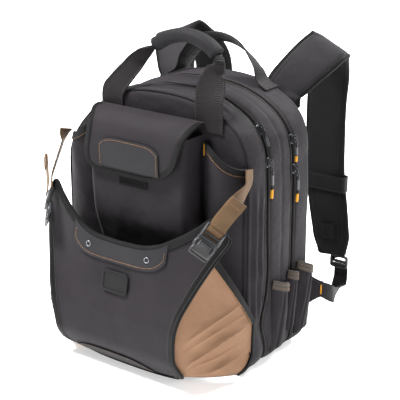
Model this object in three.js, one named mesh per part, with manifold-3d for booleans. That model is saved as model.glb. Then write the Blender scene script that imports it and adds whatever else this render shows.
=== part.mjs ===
// Tool backpack: an arch-topped body in three zipped layers, with a large front pocket on tan
// gussets, a flap pocket, tall side slots, open side pockets, two handles and shoulder straps.
// Millimetres, +Z up. The body's front face lies on y = 0 and +Y runs to the wearer's back.
import * as THREE from "three";
import { mergeVertices } from "three/addons/utils/BufferGeometryUtils.js";
import Module from "manifold-3d";

const wasm = await Module();
wasm.setup();

// Cloth and clearances
const clear = 0.35; // gap between neighbouring pieces
const cloth = 2; // one wall of coated nylon with its lining
const webThick = 2.2; // thickness of woven webbing

// Body
const bodyWidth = 338;
const bodyTop = 420;
const footHeight = 6;
const shoulderHeight = 150; // height of the arch above the straight sides
const bodyPower = 2.35; // squareness of the arch
const bodyLean = 20; // how far the soft top leans to the right
const leanStart = 290;
const leanEnd = 395;
const bottomRadius = 26;
const doorDepth = 46;
const zipGap = 8;
const middleDepth = 54;
const rearDepth = 52;
const faceRound = 10; // rounding of the door's front edge
const backPadThick = 13;
const seamDrift = 8; // how far the rear zip moves back below the shoulders
const footLength = 24;
const footWidth = 16;

// Front pocket
const pocketHalfWidth = 168;
const pocketTop = 267;
const pocketReach = 107;
const eyeletSpacing = 109;
const eyeletHeight = 196;
const eyeletRadius = 4.6;
const eyeletBore = 2.6;
const badgeWidth = 48;
const badgeHeight = 32;
const badgeZ = 150;
const badgeThick = 2.5;
const patchThick = 1.2;

// Centre pocket with its flap, and the tall slots beside it
const boxHalfWidth = 88;
const boxReach = 42;
const boxTop = 368;
const boxBottom = 150;
const flapTop = 386;
const flapBottom = 299;
const flapThick = 2.4;
const hookWidth = 52;
const hookHeight = 13;
const slotInner = 95;
const slotOuter = 160;
const slotTop = 374;
const slotDrop = 44; // how far the mouth falls towards the side
const slotReach = 20;

// Straps, buckles and handles
const tanWebWidth = 25;
const buckleWidth = 33;
const buckleLength = 50;
const buckleThick = 8;
const handleWebWidth = 48;
const gripWebWidth = 17;
const gripHeight = 20;
const gripDepth = 24;
const rearWebWidth = 34;
const rearHandleRise = 52;
const strapHalfWidth = 35;
const strapThick = 12;
const crossWebWidth = 26;
const lockWidth = 32;
const lockHeight = 22;
const lockThick = 7;
const lowerWebWidth = 25;

// Places worked out from the sizes above
const halfBody = bodyWidth / 2;
const middleStart = doorDepth + zipGap;
const middleEnd = middleStart + middleDepth;
const rearStart = middleEnd + zipGap;
const rearEnd = rearStart + rearDepth;
const backFace = rearEnd + clear + backPadThick;
const sideFace = halfBody + clear;

const colours = {
  nylon: [0x4a464b, 0.85],
  nylonDark: [0x343236, 0.85],
  lining: [0x242326, 0.9],
  tan: [0xb58c73, 0.8],
  tanWeb: [0x9c7a60, 0.75],
  web: [0x2b2828, 0.8],
  mesh: [0x18181a, 0.95],
  plastic: [0x26272a, 0.45],
  metal: [0xb8babd, 0.3],
  badge: [0x1f1f21, 0.6],
  yellow: [0xe0a32c, 0.6],
};

const pack = new THREE.Group();

function addPiece(name, geometry, colour) {
  const [hex, roughness] = colours[colour];
  const metalness = colour === "metal" ? 0.9 : 0;
  const mesh = new THREE.Mesh(
    geometry,
    new THREE.MeshStandardMaterial({ color: hex, roughness, metalness }),
  );
  mesh.name = name;
  pack.add(mesh);
}

const sides = [
  { name: "left", sign: -1 },
  { name: "right", sign: 1 },
];

// Geometry from points and triangles, turned round where it would be inside out.
function closedGeometry(points, index) {
  let volume = 0;
  for (let i = 0; i < index.length; i += 3) {
    const [a, b, c] = [points[index[i]], points[index[i + 1]], points[index[i + 2]]];
    volume += a.dot(new THREE.Vector3().crossVectors(b, c));
  }
  if (volume < 0) index.reverse();
  const geometry = new THREE.BufferGeometry().setFromPoints(points);
  geometry.setIndex(index);
  geometry.computeVertexNormals();
  return geometry;
}

// A wall between two grids of points with the same rows and columns; loop joins the last
// column to the first.
function wallBetween(front, back, loop = false) {
  const rows = front.length;
  const cols = front[0].length;
  const at = (layer, r, c) => layer * rows * cols + r * cols + (c % cols);
  const index = [];
  const quad = (a, b, c, d) => index.push(a, b, c, a, c, d);
  const spans = loop ? cols : cols - 1;
  for (let c = 0; c < spans; c++) {
    for (let r = 0; r < rows - 1; r++) {
      quad(at(0, r, c), at(0, r, c + 1), at(0, r + 1, c + 1), at(0, r + 1, c));
      quad(at(1, r, c), at(1, r + 1, c), at(1, r + 1, c + 1), at(1, r, c + 1));
    }
    const end = rows - 1;
    quad(at(0, 0, c), at(1, 0, c), at(1, 0, c + 1), at(0, 0, c + 1));
    quad(at(0, end, c), at(0, end, c + 1), at(1, end, c + 1), at(1, end, c));
  }
  if (!loop) {
    const last = cols - 1;
    for (let r = 0; r < rows - 1; r++) {
      quad(at(0, r, 0), at(0, r + 1, 0), at(1, r + 1, 0), at(1, r, 0));
      quad(at(0, r, last), at(1, r, last), at(1, r + 1, last), at(0, r + 1, last));
    }
  }
  return closedGeometry([...front.flat(), ...back.flat()], index);
}

// Normals of a grid of points, from the differences along its rows and columns.
function gridNormals(grid) {
  const rows = grid.length;
  const cols = grid[0].length;
  return grid.map((row, r) =>
    row.map((point, c) => {
      const across = row[Math.min(c + 1, cols - 1)].clone().sub(row[Math.max(c - 1, 0)]);
      const down = grid[Math.min(r + 1, rows - 1)][c].clone();
      down.sub(grid[Math.max(r - 1, 0)][c]);
      return across.cross(down).normalize();
    }),
  );
}

// Cloth of even thickness whose one face is pointAt(u, v), with u and v from 0 to 1. The
// thickness goes to the side that `away` points to.
function clothSheet(pointAt, cols, rows, thickness, away) {
  const grid = [];
  for (let r = 0; r <= rows; r++) {
    grid.push([]);
    for (let c = 0; c <= cols; c++) grid[r].push(pointAt(c / cols, r / rows));
  }
  const normals = gridNormals(grid);
  const middle = normals[Math.floor(rows / 2)][Math.floor(cols / 2)];
  const turn = middle.dot(away) < 0 ? -1 : 1;
  const other = grid.map((row, r) =>
    row.map((point, c) => point.clone().addScaledVector(normals[r][c], turn * thickness)),
  );
  return wallBetween(grid, other);
}

// A solid through closed sections of equal length, capped at both ends by fans.
function loft(sections) {
  const cols = sections[0].length;
  const index = [];
  for (let r = 0; r < sections.length - 1; r++) {
    for (let c = 0; c < cols; c++) {
      const next = (c + 1) % cols;
      const [a, b] = [r * cols + c, r * cols + next];
      index.push(a, b, b + cols, a, b + cols, a + cols);
    }
  }
  const end = (sections.length - 1) * cols;
  for (let c = 1; c < cols - 1; c++) {
    index.push(0, c + 1, c, end, end + c, end + c + 1);
  }
  return closedGeometry(sections.flat(), index);
}

// A dished shell: outer and inner loops run from the rim to the middle of the dish.
function dish(outerLoops, outerMiddle, innerLoops, innerMiddle) {
  const cols = outerLoops[0].length;
  const points = [...outerLoops.flat(), outerMiddle, ...innerLoops.flat(), innerMiddle];
  const index = [];
  const layer = (loops, base, flip) => {
    const push = (a, b, c) => (flip ? index.push(a, c, b) : index.push(a, b, c));
    const middle = base + loops.length * cols;
    for (let c = 0; c < cols; c++) {
      const next = (c + 1) % cols;
      for (let r = 0; r < loops.length - 1; r++) {
        const [a, b] = [base + r * cols + c, base + r * cols + next];
        push(a, b, b + cols);
        push(a, b + cols, a + cols);
      }
      push(middle - cols + c, middle - cols + next, middle);
    }
  };
  const innerBase = outerLoops.length * cols + 1;
  layer(outerLoops, 0, false);
  layer(innerLoops, innerBase, true);
  for (let c = 0; c < cols; c++) {
    const next = (c + 1) % cols;
    index.push(next, c, innerBase + c, next, innerBase + c, innerBase + next);
  }
  return closedGeometry(points, index);
}

// The value of one column of a table at a place given by its first column, eased between rows.
function lookUp(table, key, column, place) {
  const sorted = [...table].sort((a, b) => a[key] - b[key]);
  if (place <= sorted[0][key]) return sorted[0][column];
  for (let i = 1; i < sorted.length; i++) {
    const [low, high] = [sorted[i - 1], sorted[i]];
    if (place <= high[key]) {
      const share = (place - low[key]) / (high[key] - low[key]);
      return THREE.MathUtils.lerp(low[column], high[column], share);
    }
  }
  return sorted[sorted.length - 1][column];
}

const vec = (x, y, z) => new THREE.Vector3(x, y, z);
const forward = vec(0, -1, 0);
const backward = vec(0, 1, 0);

// A flat ribbon along stations of { at, across, width }: `at` is its middle, `across` the
// direction of its width. Points between stations lie on a Catmull-Rom curve.
function ribbon(stations, steps, thickness) {
  const path = new THREE.CatmullRomCurve3(
    stations.map((station) => station.at),
    false,
    "centripetal",
  );
  const sections = [];
  for (let i = 0; i <= steps; i++) {
    const t = i / steps;
    const place = t * (stations.length - 1);
    const low = Math.min(Math.floor(place), stations.length - 2);
    const share = place - low;
    const [a, b] = [stations[low], stations[low + 1]];
    const tangent = path.getTangent(t);
    const across = a.across.clone().lerp(b.across, share);
    across.addScaledVector(tangent, -across.dot(tangent)).normalize();
    const half = THREE.MathUtils.lerp(a.width, b.width, share) / 2;
    const lift = tangent.clone().cross(across).normalize();
    const middle = path.getPoint(t);
    const corner = (s, l) =>
      middle.clone().addScaledVector(across, s * half).addScaledVector(lift, (l * thickness) / 2);
    sections.push([corner(-1, -1), corner(1, -1), corner(1, 1), corner(-1, 1)]);
  }
  return loft(sections);
}

// Moves a ribbon's stations to one side of the pack.
const mirrored = (stations, sign) =>
  stations.map(({ at, across, width }) => ({
    at: vec(sign * at.x, at.y, at.z),
    across: vec(across.x, sign * across.y, sign * across.z),
    width,
  }));

function toManifold(geometry) {
  const bare = geometry.clone();
  bare.deleteAttribute("normal");
  bare.deleteAttribute("uv");
  const merged = mergeVertices(bare, 1e-3);
  return new wasm.Manifold(
    new wasm.Mesh({
      numProp: 3,
      vertProperties: merged.attributes.position.array,
      triVerts: new Uint32Array(merged.index.array),
    }),
  );
}

function fromManifold(solid) {
  const { vertProperties, triVerts } = solid.getMesh();
  const geometry = new THREE.BufferGeometry();
  geometry.setAttribute("position", new THREE.BufferAttribute(vertProperties, 3));
  geometry.setIndex(new THREE.BufferAttribute(triVerts, 1));
  geometry.computeVertexNormals();
  return geometry;
}

// Rounded rectangle as a THREE.Shape, centred on the origin.
function roundedShape(width, height, radius) {
  const [w, h] = [width / 2, height / 2];
  const shape = new THREE.Shape();
  shape.moveTo(-w + radius, -h);
  shape.lineTo(w - radius, -h);
  shape.absarc(w - radius, -h + radius, radius, -Math.PI / 2, 0);
  shape.lineTo(w, h - radius);
  shape.absarc(w - radius, h - radius, radius, 0, Math.PI / 2);
  shape.lineTo(-w + radius, h);
  shape.absarc(-w + radius, h - radius, radius, Math.PI / 2, Math.PI);
  shape.lineTo(-w, -h + radius);
  shape.absarc(-w + radius, -h + radius, radius, Math.PI, Math.PI * 1.5);
  return shape;
}

function slotHole(width, height, centreY) {
  const hole = new THREE.Path();
  hole.moveTo(-width / 2, centreY - height / 2);
  hole.lineTo(-width / 2, centreY + height / 2);
  hole.lineTo(width / 2, centreY + height / 2);
  hole.lineTo(width / 2, centreY - height / 2);
  return hole;
}

const extrude = (shape, depth, curveSegments = 3) =>
  new THREE.ExtrudeGeometry(shape, { depth, bevelEnabled: false, curveSegments });

// Turns a geometry whose axes are X across, Y along and Z out into a place on the pack.
function placed(geometry, at, along, out) {
  const y = along.clone().normalize();
  const x = y.clone().cross(out).normalize();
  const z = x.clone().cross(y);
  geometry.applyMatrix4(new THREE.Matrix4().makeBasis(x, y, z).setPosition(at));
  return geometry;
}

const leanAt = (z) => bodyLean * THREE.MathUtils.smoothstep(z, leanStart, leanEnd);

// Outline of the body in front view: flat base, round lower corners, straight sides and an
// arch that is a superellipse, leaning to one side. The inset moves all of it inwards.
function bodyOutline(inset) {
  const half = halfBody - inset;
  const base = footHeight + inset;
  const top = bodyTop - inset;
  const radius = Math.max(bottomRadius - inset, 2);
  const shoulder = bodyTop - shoulderHeight;
  const baseSteps = 4;
  const cornerSteps = 3;
  const sideSteps = 3;
  const archSteps = 16;
  const right = [];
  for (let i = 0; i < cornerSteps; i++) {
    const angle = (i / cornerSteps) * (Math.PI / 2);
    const x = half - radius + radius * Math.sin(angle);
    right.push([x, base + radius - radius * Math.cos(angle)]);
  }
  for (let i = 0; i < sideSteps; i++) {
    right.push([half, base + radius + (i / sideSteps) * (shoulder - base - radius)]);
  }
  const arch = [];
  for (let i = 0; i <= archSteps; i++) {
    const angle = (i / archSteps) * Math.PI;
    const cos = Math.cos(angle);
    const x = half * Math.sign(cos) * Math.abs(cos) ** (2 / bodyPower);
    const lift = Math.max(Math.sin(angle), 0) ** (2 / bodyPower);
    const z = shoulder + (top - shoulder) * lift;
    arch.push([x + leanAt(z), z]);
  }
  const left = right.map(([x, z]) => [-x, z]).reverse();
  const bottom = [];
  for (let i = 1; i < baseSteps; i++) {
    bottom.push([(half - radius) * ((2 * i) / baseSteps - 1), base]);
  }
  return [...right, ...arch, ...left, ...bottom];
}

// The zip seams run a little further back on the sides than over the arch.
const driftShare = (z) => THREE.MathUtils.smoothstep(bodyTop - z, 20, 110);

function bodyLoop({ y, inset, drift = 0 }) {
  return bodyOutline(inset).map(([x, z]) => vec(x, y + drift * driftShare(z), z));
}

const bodyRing = (outerRows, thickness) =>
  wallBetween(
    outerRows.map(bodyLoop),
    outerRows.map((row) => bodyLoop({ ...row, inset: row.inset + thickness })),
    true,
  );

const faceMiddle = (y) => vec(bodyLean / 4, y, (footHeight + bodyTop) / 2);

function makeBody() {
  const doorRows = [
    { y: doorDepth, inset: 0 },
    { y: faceRound, inset: 0 },
    { y: faceRound * 0.3, inset: faceRound * 0.3 },
    { y: 0, inset: faceRound },
  ];
  const doorInner = [
    { y: doorDepth, inset: cloth },
    { y: faceRound + cloth, inset: cloth },
    { y: faceRound * 0.3 + cloth, inset: faceRound * 0.3 + cloth },
    { y: cloth, inset: faceRound + cloth },
  ];
  addPiece(
    "front_door",
    dish(doorRows.map(bodyLoop), faceMiddle(0), doorInner.map(bodyLoop), faceMiddle(cloth)),
    "nylon",
  );

  const sag = 2; // the band dips beside each zip
  const middleRows = [
    { y: middleStart, inset: sag },
    { y: middleStart + 6, inset: 0 },
    { y: (middleStart + middleEnd) / 2, inset: 0, drift: seamDrift / 2 },
    { y: middleEnd - 6, inset: 0, drift: seamDrift },
    { y: middleEnd, inset: sag, drift: seamDrift },
  ];
  addPiece("middle_band", bodyRing(middleRows, cloth), "nylon");

  const tubRows = [
    { y: rearStart, inset: sag, drift: seamDrift },
    { y: rearStart + 6, inset: 0, drift: seamDrift },
    { y: rearEnd - faceRound, inset: 0 },
    { y: rearEnd - 2, inset: 4 },
    { y: rearEnd, inset: faceRound },
  ];
  const tubInner = tubRows.map((row) => ({
    ...row,
    y: Math.min(row.y, rearEnd - cloth),
    inset: row.inset + cloth,
  }));
  tubInner[3].y = rearEnd - 2 * cloth;
  addPiece(
    "rear_tub",
    dish(
      tubRows.map(bodyLoop),
      faceMiddle(rearEnd),
      tubInner.map(bodyLoop),
      faceMiddle(rearEnd - cloth),
    ),
    "nylon",
  );

  const padRows = [
    { y: rearEnd + clear, inset: 16 },
    { y: rearEnd + clear + 4, inset: 10 },
    { y: backFace - 4, inset: 10 },
    { y: backFace, inset: 17 },
  ];
  addPiece("back_pad", loft(padRows.map(bodyLoop)), "mesh");

  // Each zip is a recessed tape with its coil standing a little proud in the middle.
  const zips = [
    { name: "front_zip", start: doorDepth, drift: 0 },
    { name: "rear_zip", start: middleEnd, drift: seamDrift },
  ];
  for (const { name, start, drift } of zips) {
    const rows = [
      { share: 0, inset: 3.6 },
      { share: 0.5, inset: 1.8 },
      { share: 1, inset: 3.6 },
    ].map(({ share, inset }) => ({
      y: start + clear + share * (zipGap - 2 * clear),
      inset,
      drift,
    }));
    addPiece(name, bodyRing(rows, cloth), "web");
  }

  for (const { name, sign } of sides) {
    const places = [
      { row: "front", y: 18 },
      { row: "rear", y: rearEnd - 22 },
    ];
    for (const { row, y } of places) {
      const foot = extrude(roundedShape(footWidth, footLength, 3), footHeight - clear, 2);
      foot.translate(sign * (halfBody - bottomRadius - footWidth * 0.25), y, 0);
      addPiece(`${row}_foot_${name}`, foot, "plastic");
    }
  }
}

// Front pocket panel. Heights, half widths and reaches are shares of its named sizes: the
// panel bellies forward low down and sweeps back to its upper corners.
const panelShape = [
  { height: 0.026, width: 0.53, edge: 0.56, middle: 0.63 },
  { height: 0.055, width: 0.61, edge: 0.68, middle: 0.72 },
  { height: 0.11, width: 0.67, edge: 0.83, middle: 0.84 },
  { height: 0.22, width: 0.655, edge: 0.97, middle: 0.96 },
  { height: 0.37, width: 0.675, edge: 1.0, middle: 0.965 },
  { height: 0.45, width: 0.7, edge: 0.97, middle: 0.92 },
  { height: 0.6, width: 0.785, edge: 0.82, middle: 0.85 },
  { height: 0.75, width: 0.89, edge: 0.635, middle: 0.805 },
  { height: 0.82, width: 0.94, edge: 0.52, middle: 0.77 },
  { height: 0.9, width: 1.0, edge: 0.44, middle: 0.72 },
  { height: 1.0, width: 0.99, edge: 0.42, middle: 0.68 },
];
// Its upper edge dips in the middle and rises to a corner at each side.
const panelRim = [
  { across: 0, height: 0.787 },
  { across: 0.25, height: 0.793 },
  { across: 0.45, height: 0.822 },
  { across: 0.6, height: 0.88 },
  { across: 0.75, height: 0.945 },
  { across: 0.88, height: 1 },
  { across: 1, height: 0.905 },
];
const panelBase = 7;

function panelPoint(across, height) {
  const share = height / pocketTop;
  const width = pocketHalfWidth * lookUp(panelShape, "height", "width", share);
  const middle = lookUp(panelShape, "height", "middle", share);
  const edge = lookUp(panelShape, "height", "edge", share);
  const reach = THREE.MathUtils.lerp(middle, edge, Math.abs(across) ** 3);
  return vec(across * width, -pocketReach * reach, height);
}

const panelWidthAt = (height) =>
  pocketHalfWidth * lookUp(panelShape, "height", "width", height / pocketTop);

const panelRimAt = (across) =>
  pocketTop * lookUp(panelRim, "across", "height", Math.min(Math.abs(across), 1));

// A thin piece lying on the panel, over a patch of it given by x and z.
function onPanel(pointAt, cols, rows, thickness) {
  const lifted = (u, v) => {
    const [x, z] = pointAt(u, v);
    return panelPoint(x / panelWidthAt(z), z).addScaledVector(forward, 2.5 * clear);
  };
  return clothSheet(lifted, cols, rows, thickness, forward);
}

// Half width of the body at a height, below its arch.
function sideAt(z) {
  const drop = footHeight + bottomRadius - z;
  if (drop <= 0) return halfBody;
  return halfBody - bottomRadius + Math.sqrt(Math.max(bottomRadius ** 2 - drop ** 2, 0));
}

function makeFrontPocket() {
  const surface = (u, v) => {
    const across = 2 * u - 1;
    return panelPoint(across, THREE.MathUtils.lerp(panelBase, panelRimAt(across), v));
  };
  let panel = toManifold(clothSheet(surface, 14, 11, cloth, backward));

  // The stiff patch under the rim, with its two eyelets.
  const patchHalf = 86;
  const patchFoot = (x) => {
    const bend = Math.min(Math.abs(x) / patchHalf, 1);
    return 178 + 20 * bend ** 6;
  };
  const patchAt = (u, v) => {
    const x = patchHalf * (2 * u - 1);
    const rim = panelRimAt(x / panelWidthAt(215)) - 4;
    return [x, THREE.MathUtils.lerp(patchFoot(x), rim, v)];
  };
  let patch = toManifold(onPanel(patchAt, 12, 3, patchThick));
  for (const { name, sign } of sides) {
    const x = (sign * eyeletSpacing) / 2;
    const centre = panelPoint(x / panelWidthAt(eyeletHeight), eyeletHeight);
    const bore = new THREE.CylinderGeometry(eyeletBore, eyeletBore, 40, 10);
    bore.translate(centre.x, centre.y, centre.z);
    panel = panel.subtract(toManifold(bore));
    patch = patch.subtract(toManifold(bore));
    const ring = new THREE.TorusGeometry((eyeletRadius + eyeletBore) / 2, 1, 6, 12);
    const up = panelPoint(x / panelWidthAt(eyeletHeight + 6), eyeletHeight + 6).sub(centre);
    const out = up.clone().cross(vec(1, 0, 0)).normalize().negate();
    const lift = patchThick + 2.5 * clear + 1.5;
    addPiece(`eyelet_${name}`, placed(ring, centre.clone().addScaledVector(out, lift), up, out), "metal");
  }
  addPiece("front_pocket_panel", fromManifold(panel), "nylon");
  addPiece("pocket_patch", fromManifold(patch), "nylonDark");

  // Low arched patch along the foot of the panel.
  const footPatch = (u, v) => {
    const along = 2 * u - 1;
    return [74 * along - 18, THREE.MathUtils.lerp(12, 33 - 14 * along ** 4, v)];
  };
  addPiece("bottom_patch", onPanel(footPatch, 10, 3, patchThick), "nylonDark");

  const badgeFoot = panelPoint(0, badgeZ - 10);
  const badgeUp = panelPoint(0, badgeZ + 10).sub(badgeFoot);
  const badgeOut = badgeUp.clone().cross(vec(1, 0, 0)).normalize().negate();
  const badgeAt = panelPoint(0, badgeZ);
  badgeAt.addScaledVector(badgeOut, 3 * clear);
  const badge = extrude(roundedShape(badgeWidth, badgeHeight, 6), badgeThick);
  addPiece("badge", placed(badge, badgeAt, badgeUp, badgeOut), "badge");

  // Floor of the pocket, between the panel and the door.
  const floorAt = (u, v) => {
    const front = 0.56 * pocketReach - cloth - 3;
    const half = THREE.MathUtils.lerp(0.53 * pocketHalfWidth - 5, sideAt(panelBase) - 7, v);
    return vec(half * (2 * u - 1), THREE.MathUtils.lerp(-front, 2.2, v), panelBase);
  };
  addPiece("pocket_floor", clothSheet(floorAt, 4, 3, cloth, vec(0, 0, 1)), "nylonDark");

  // Gussets: from the panel's side edge to the body's side. Their upper edge falls from the
  // panel's corner to the body, and they bulge outwards.
  const gussetTop = 212;
  const gussetRear = 96;
  for (const { name, sign } of sides) {
    const surfaceAt = (u, v) => {
      const high = THREE.MathUtils.lerp(panelBase + 1, gussetTop, v);
      const start = panelPoint(1, high);
      start.add(vec(-2.5, cloth + 6 * clear, 0));
      const low = THREE.MathUtils.lerp(panelBase + 3, gussetRear, v ** 0.8);
      const wrap = THREE.MathUtils.lerp(-12, 15, Math.min(low / 40, 1));
      const end = vec(sideAt(low) + 2.5 + clear, wrap, low);
      const bulge = 24 * Math.sin(Math.PI * u) * Math.sin(Math.PI * (0.12 + 0.75 * v));
      const point = start.lerp(end, u).add(vec(0.8 * bulge, -0.35 * bulge, 0));
      point.x *= sign;
      return point;
    };
    addPiece(`gusset_${name}`, clothSheet(surfaceAt, 7, 9, 1.6, vec(-sign, 0, 0)), "tan");
  }
}

// Flap pocket in the middle of the door, with the flap folded down over it.
const boxShape = [
  { height: 0, reach: 0.16 },
  { height: 0.2, reach: 0.6 },
  { height: 0.4, reach: 0.92 },
  { height: 0.7, reach: 1 },
  { height: 1, reach: 0.9 },
];
// The flap's front half, from the fold down: its right corner is cut rounder than its left.
const flapEdge = [
  { height: 0, left: 0.7, right: 0.3 },
  { height: 0.06, left: 0.83, right: 0.46 },
  { height: 0.15, left: 0.9, right: 0.62 },
  { height: 0.32, left: 0.92, right: 0.78 },
  { height: 0.65, left: 0.88, right: 0.89 },
  { height: 0.84, left: 0.87, right: 0.95 },
  { height: 1, left: 1, right: 1 },
];
const flapLine = [
  { down: 0, reach: 0.075, height: 1 },
  { down: 0.12, reach: 0.42, height: 0.985 },
  { down: 0.24, reach: 0.82, height: 0.91 },
  { down: 0.32, reach: 1.0, height: 0.83 },
  { down: 0.42, reach: 1.1, height: 0.7 },
  { down: 0.6, reach: 1.14, height: 0.44 },
  { down: 0.8, reach: 1.12, height: 0.18 },
  { down: 1, reach: 1.09, height: 0 },
];
const flapHalf = boxHalfWidth + 7;

function flapPoint(u, v) {
  const height = lookUp(flapLine, "down", "height", v);
  const reach = lookUp(flapLine, "down", "reach", v);
  const left = flapHalf * lookUp(flapEdge, "height", "left", height);
  const right = flapHalf * lookUp(flapEdge, "height", "right", height);
  const x = THREE.MathUtils.lerp(-left, right, u);
  return vec(x, -boxReach * reach - clear, THREE.MathUtils.lerp(flapBottom, flapTop, height));
}

function makeDoorPockets() {
  const boxAt = (u, v) => {
    const reach = boxReach * lookUp(boxShape, "height", "reach", v);
    const along = 2 * u - 1;
    const corner = 0.16;
    const turn = Math.min((1 - Math.abs(along)) / corner, 1);
    const x = boxHalfWidth * Math.sign(along) * Math.min(1, (Math.abs(along) + 0.1) / 0.96);
    const y = -clear - (reach - cloth) * Math.sin((turn * Math.PI) / 2);
    return vec(x * (1 - 0.04 * turn), y, THREE.MathUtils.lerp(boxBottom, boxTop, v));
  };
  addPiece("centre_pocket", clothSheet(boxAt, 16, 6, cloth, forward), "nylon");
  addPiece("centre_flap", clothSheet(flapPoint, 8, 12, flapThick, forward), "nylon");

  const flapPatch = (u, v) => {
    const x = THREE.MathUtils.lerp(-61, 49, u);
    const bend = Math.abs(2 * u - 1);
    const height = THREE.MathUtils.lerp(309, 354 - 10 * bend ** 5, v);
    const share = (height - flapBottom) / (flapTop - flapBottom);
    const rows = [...flapLine].filter(({ down }) => down > 0.3);
    const reach = lookUp(rows, "height", "reach", share);
    return vec(x, -boxReach * reach - flapThick - 3 * clear, height);
  };
  addPiece("flap_patch", clothSheet(flapPatch, 8, 4, patchThick, forward), "nylonDark");

  const hook = extrude(roundedShape(hookWidth, hookHeight, 2), 1.6);
  placed(hook, vec(-4, -boxReach - clear, 289), vec(0, 0, 1), forward);
  addPiece("hook_strip", hook, "mesh");

  // Tall slots on both sides of it, open along their sloping mouths.
  for (const { name, sign } of sides) {
    const slotAt = (u, v) => {
      const x = THREE.MathUtils.lerp(slotInner, slotOuter, u);
      const mouth = slotTop - 16 - slotDrop * 0.66 * THREE.MathUtils.smootherstep(u, -0.1, 1.1);
      const swell = Math.sin(Math.PI * u) ** 0.7 * (0.55 + 0.45 * v);
      const y = -1.6 * clear - slotReach * swell;
      const z = THREE.MathUtils.lerp(110, mouth, v);
      return vec(sign * x + leanAt(z) * u, y, z);
    };
    addPiece(`tall_slot_${name}`, clothSheet(slotAt, 8, 6, cloth, forward), "nylon");
  }
}

// Straps that tie the corners of the front pocket to the body, each through its buckle.
function makeFrontStraps() {
  const turned = [
    { name: "left", sign: -1, buckleAt: vec(136, -82, 232), back: -3, tailLength: 58 },
    { name: "right", sign: 1, buckleAt: vec(152, -77, 244), back: -4, tailLength: 44 },
  ];
  for (const { name, sign, buckleAt, back, tailLength } of turned) {
    const anchor = vec(halfBody + 2, back, 318);
    const along = anchor.clone().sub(buckleAt).normalize();
    const across = vec(0.6, 0.45, -0.65);
    across.addScaledVector(along, -across.dot(along)).normalize();
    const out = across.clone().cross(along).normalize();
    if (out.y > 0) out.negate();
    const bar = buckleLength * 0.5;
    const at = (distance, lift) =>
      buckleAt.clone().addScaledVector(along, distance).addScaledVector(out, lift);
    const lay = buckleThick / 2 + webThick;
    const flat = vec(-0.2, 0.95, 0);
    const strap = [
      { at: at(bar - 18, 0), across, width: tanWebWidth },
      { at: at(bar - 12, lay * 0.4), across, width: tanWebWidth },
      { at: at(bar - 6, lay), across, width: tanWebWidth },
      { at: at(bar + 8, lay * 0.7), across, width: tanWebWidth },
      { at: at(bar + 28, 7), across: across.clone().lerp(flat, 0.3), width: tanWebWidth },
      { at: anchor.clone().add(vec(1, -2, -8)), across: flat, width: tanWebWidth },
      { at: anchor.clone().add(vec(-0.5, 3, 14)), across: flat, width: tanWebWidth },
    ];
    addPiece(`tan_strap_${name}`, ribbon(mirrored(strap, sign), 14, webThick), "tanWeb");

    const tailLift = lay + webThick + 0.5;
    const tail = [
      { at: at(bar - 3, tailLift), across, width: tanWebWidth },
      { at: at(bar + tailLength * 0.2, tailLift + 1), across, width: tanWebWidth },
      { at: at(bar + tailLength * 0.55, tailLift + 6), across, width: tanWebWidth },
      { at: at(bar + tailLength, tailLift + 13), across, width: tanWebWidth },
    ];
    addPiece(`strap_tail_${name}`, ribbon(mirrored(tail, sign), 8, webThick), "tanWeb");

    const frame = roundedShape(buckleWidth, buckleLength, 6);
    frame.holes.push(slotHole(tanWebWidth + 1.6, 17, bar - 13.5));
    frame.holes.push(slotHole(tanWebWidth + 1.6, 5, -bar + 6));
    const buckle = extrude(frame, buckleThick);
    buckle.translate(0, 0, -buckleThick / 2);
    const turn = (v) => vec(sign * v.x, v.y, v.z);
    addPiece(`buckle_${name}`, placed(buckle, turn(buckleAt), turn(along), turn(out)), "plastic");

    const tab = extrude(roundedShape(11, 16, 2), webThick, 2);
    placed(tab, vec(sign * 150, -2 * clear, 164), vec(0, 0, 1), forward);
    addPiece(`webbing_tab_${name}`, tab, "web");
  }
}

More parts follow.
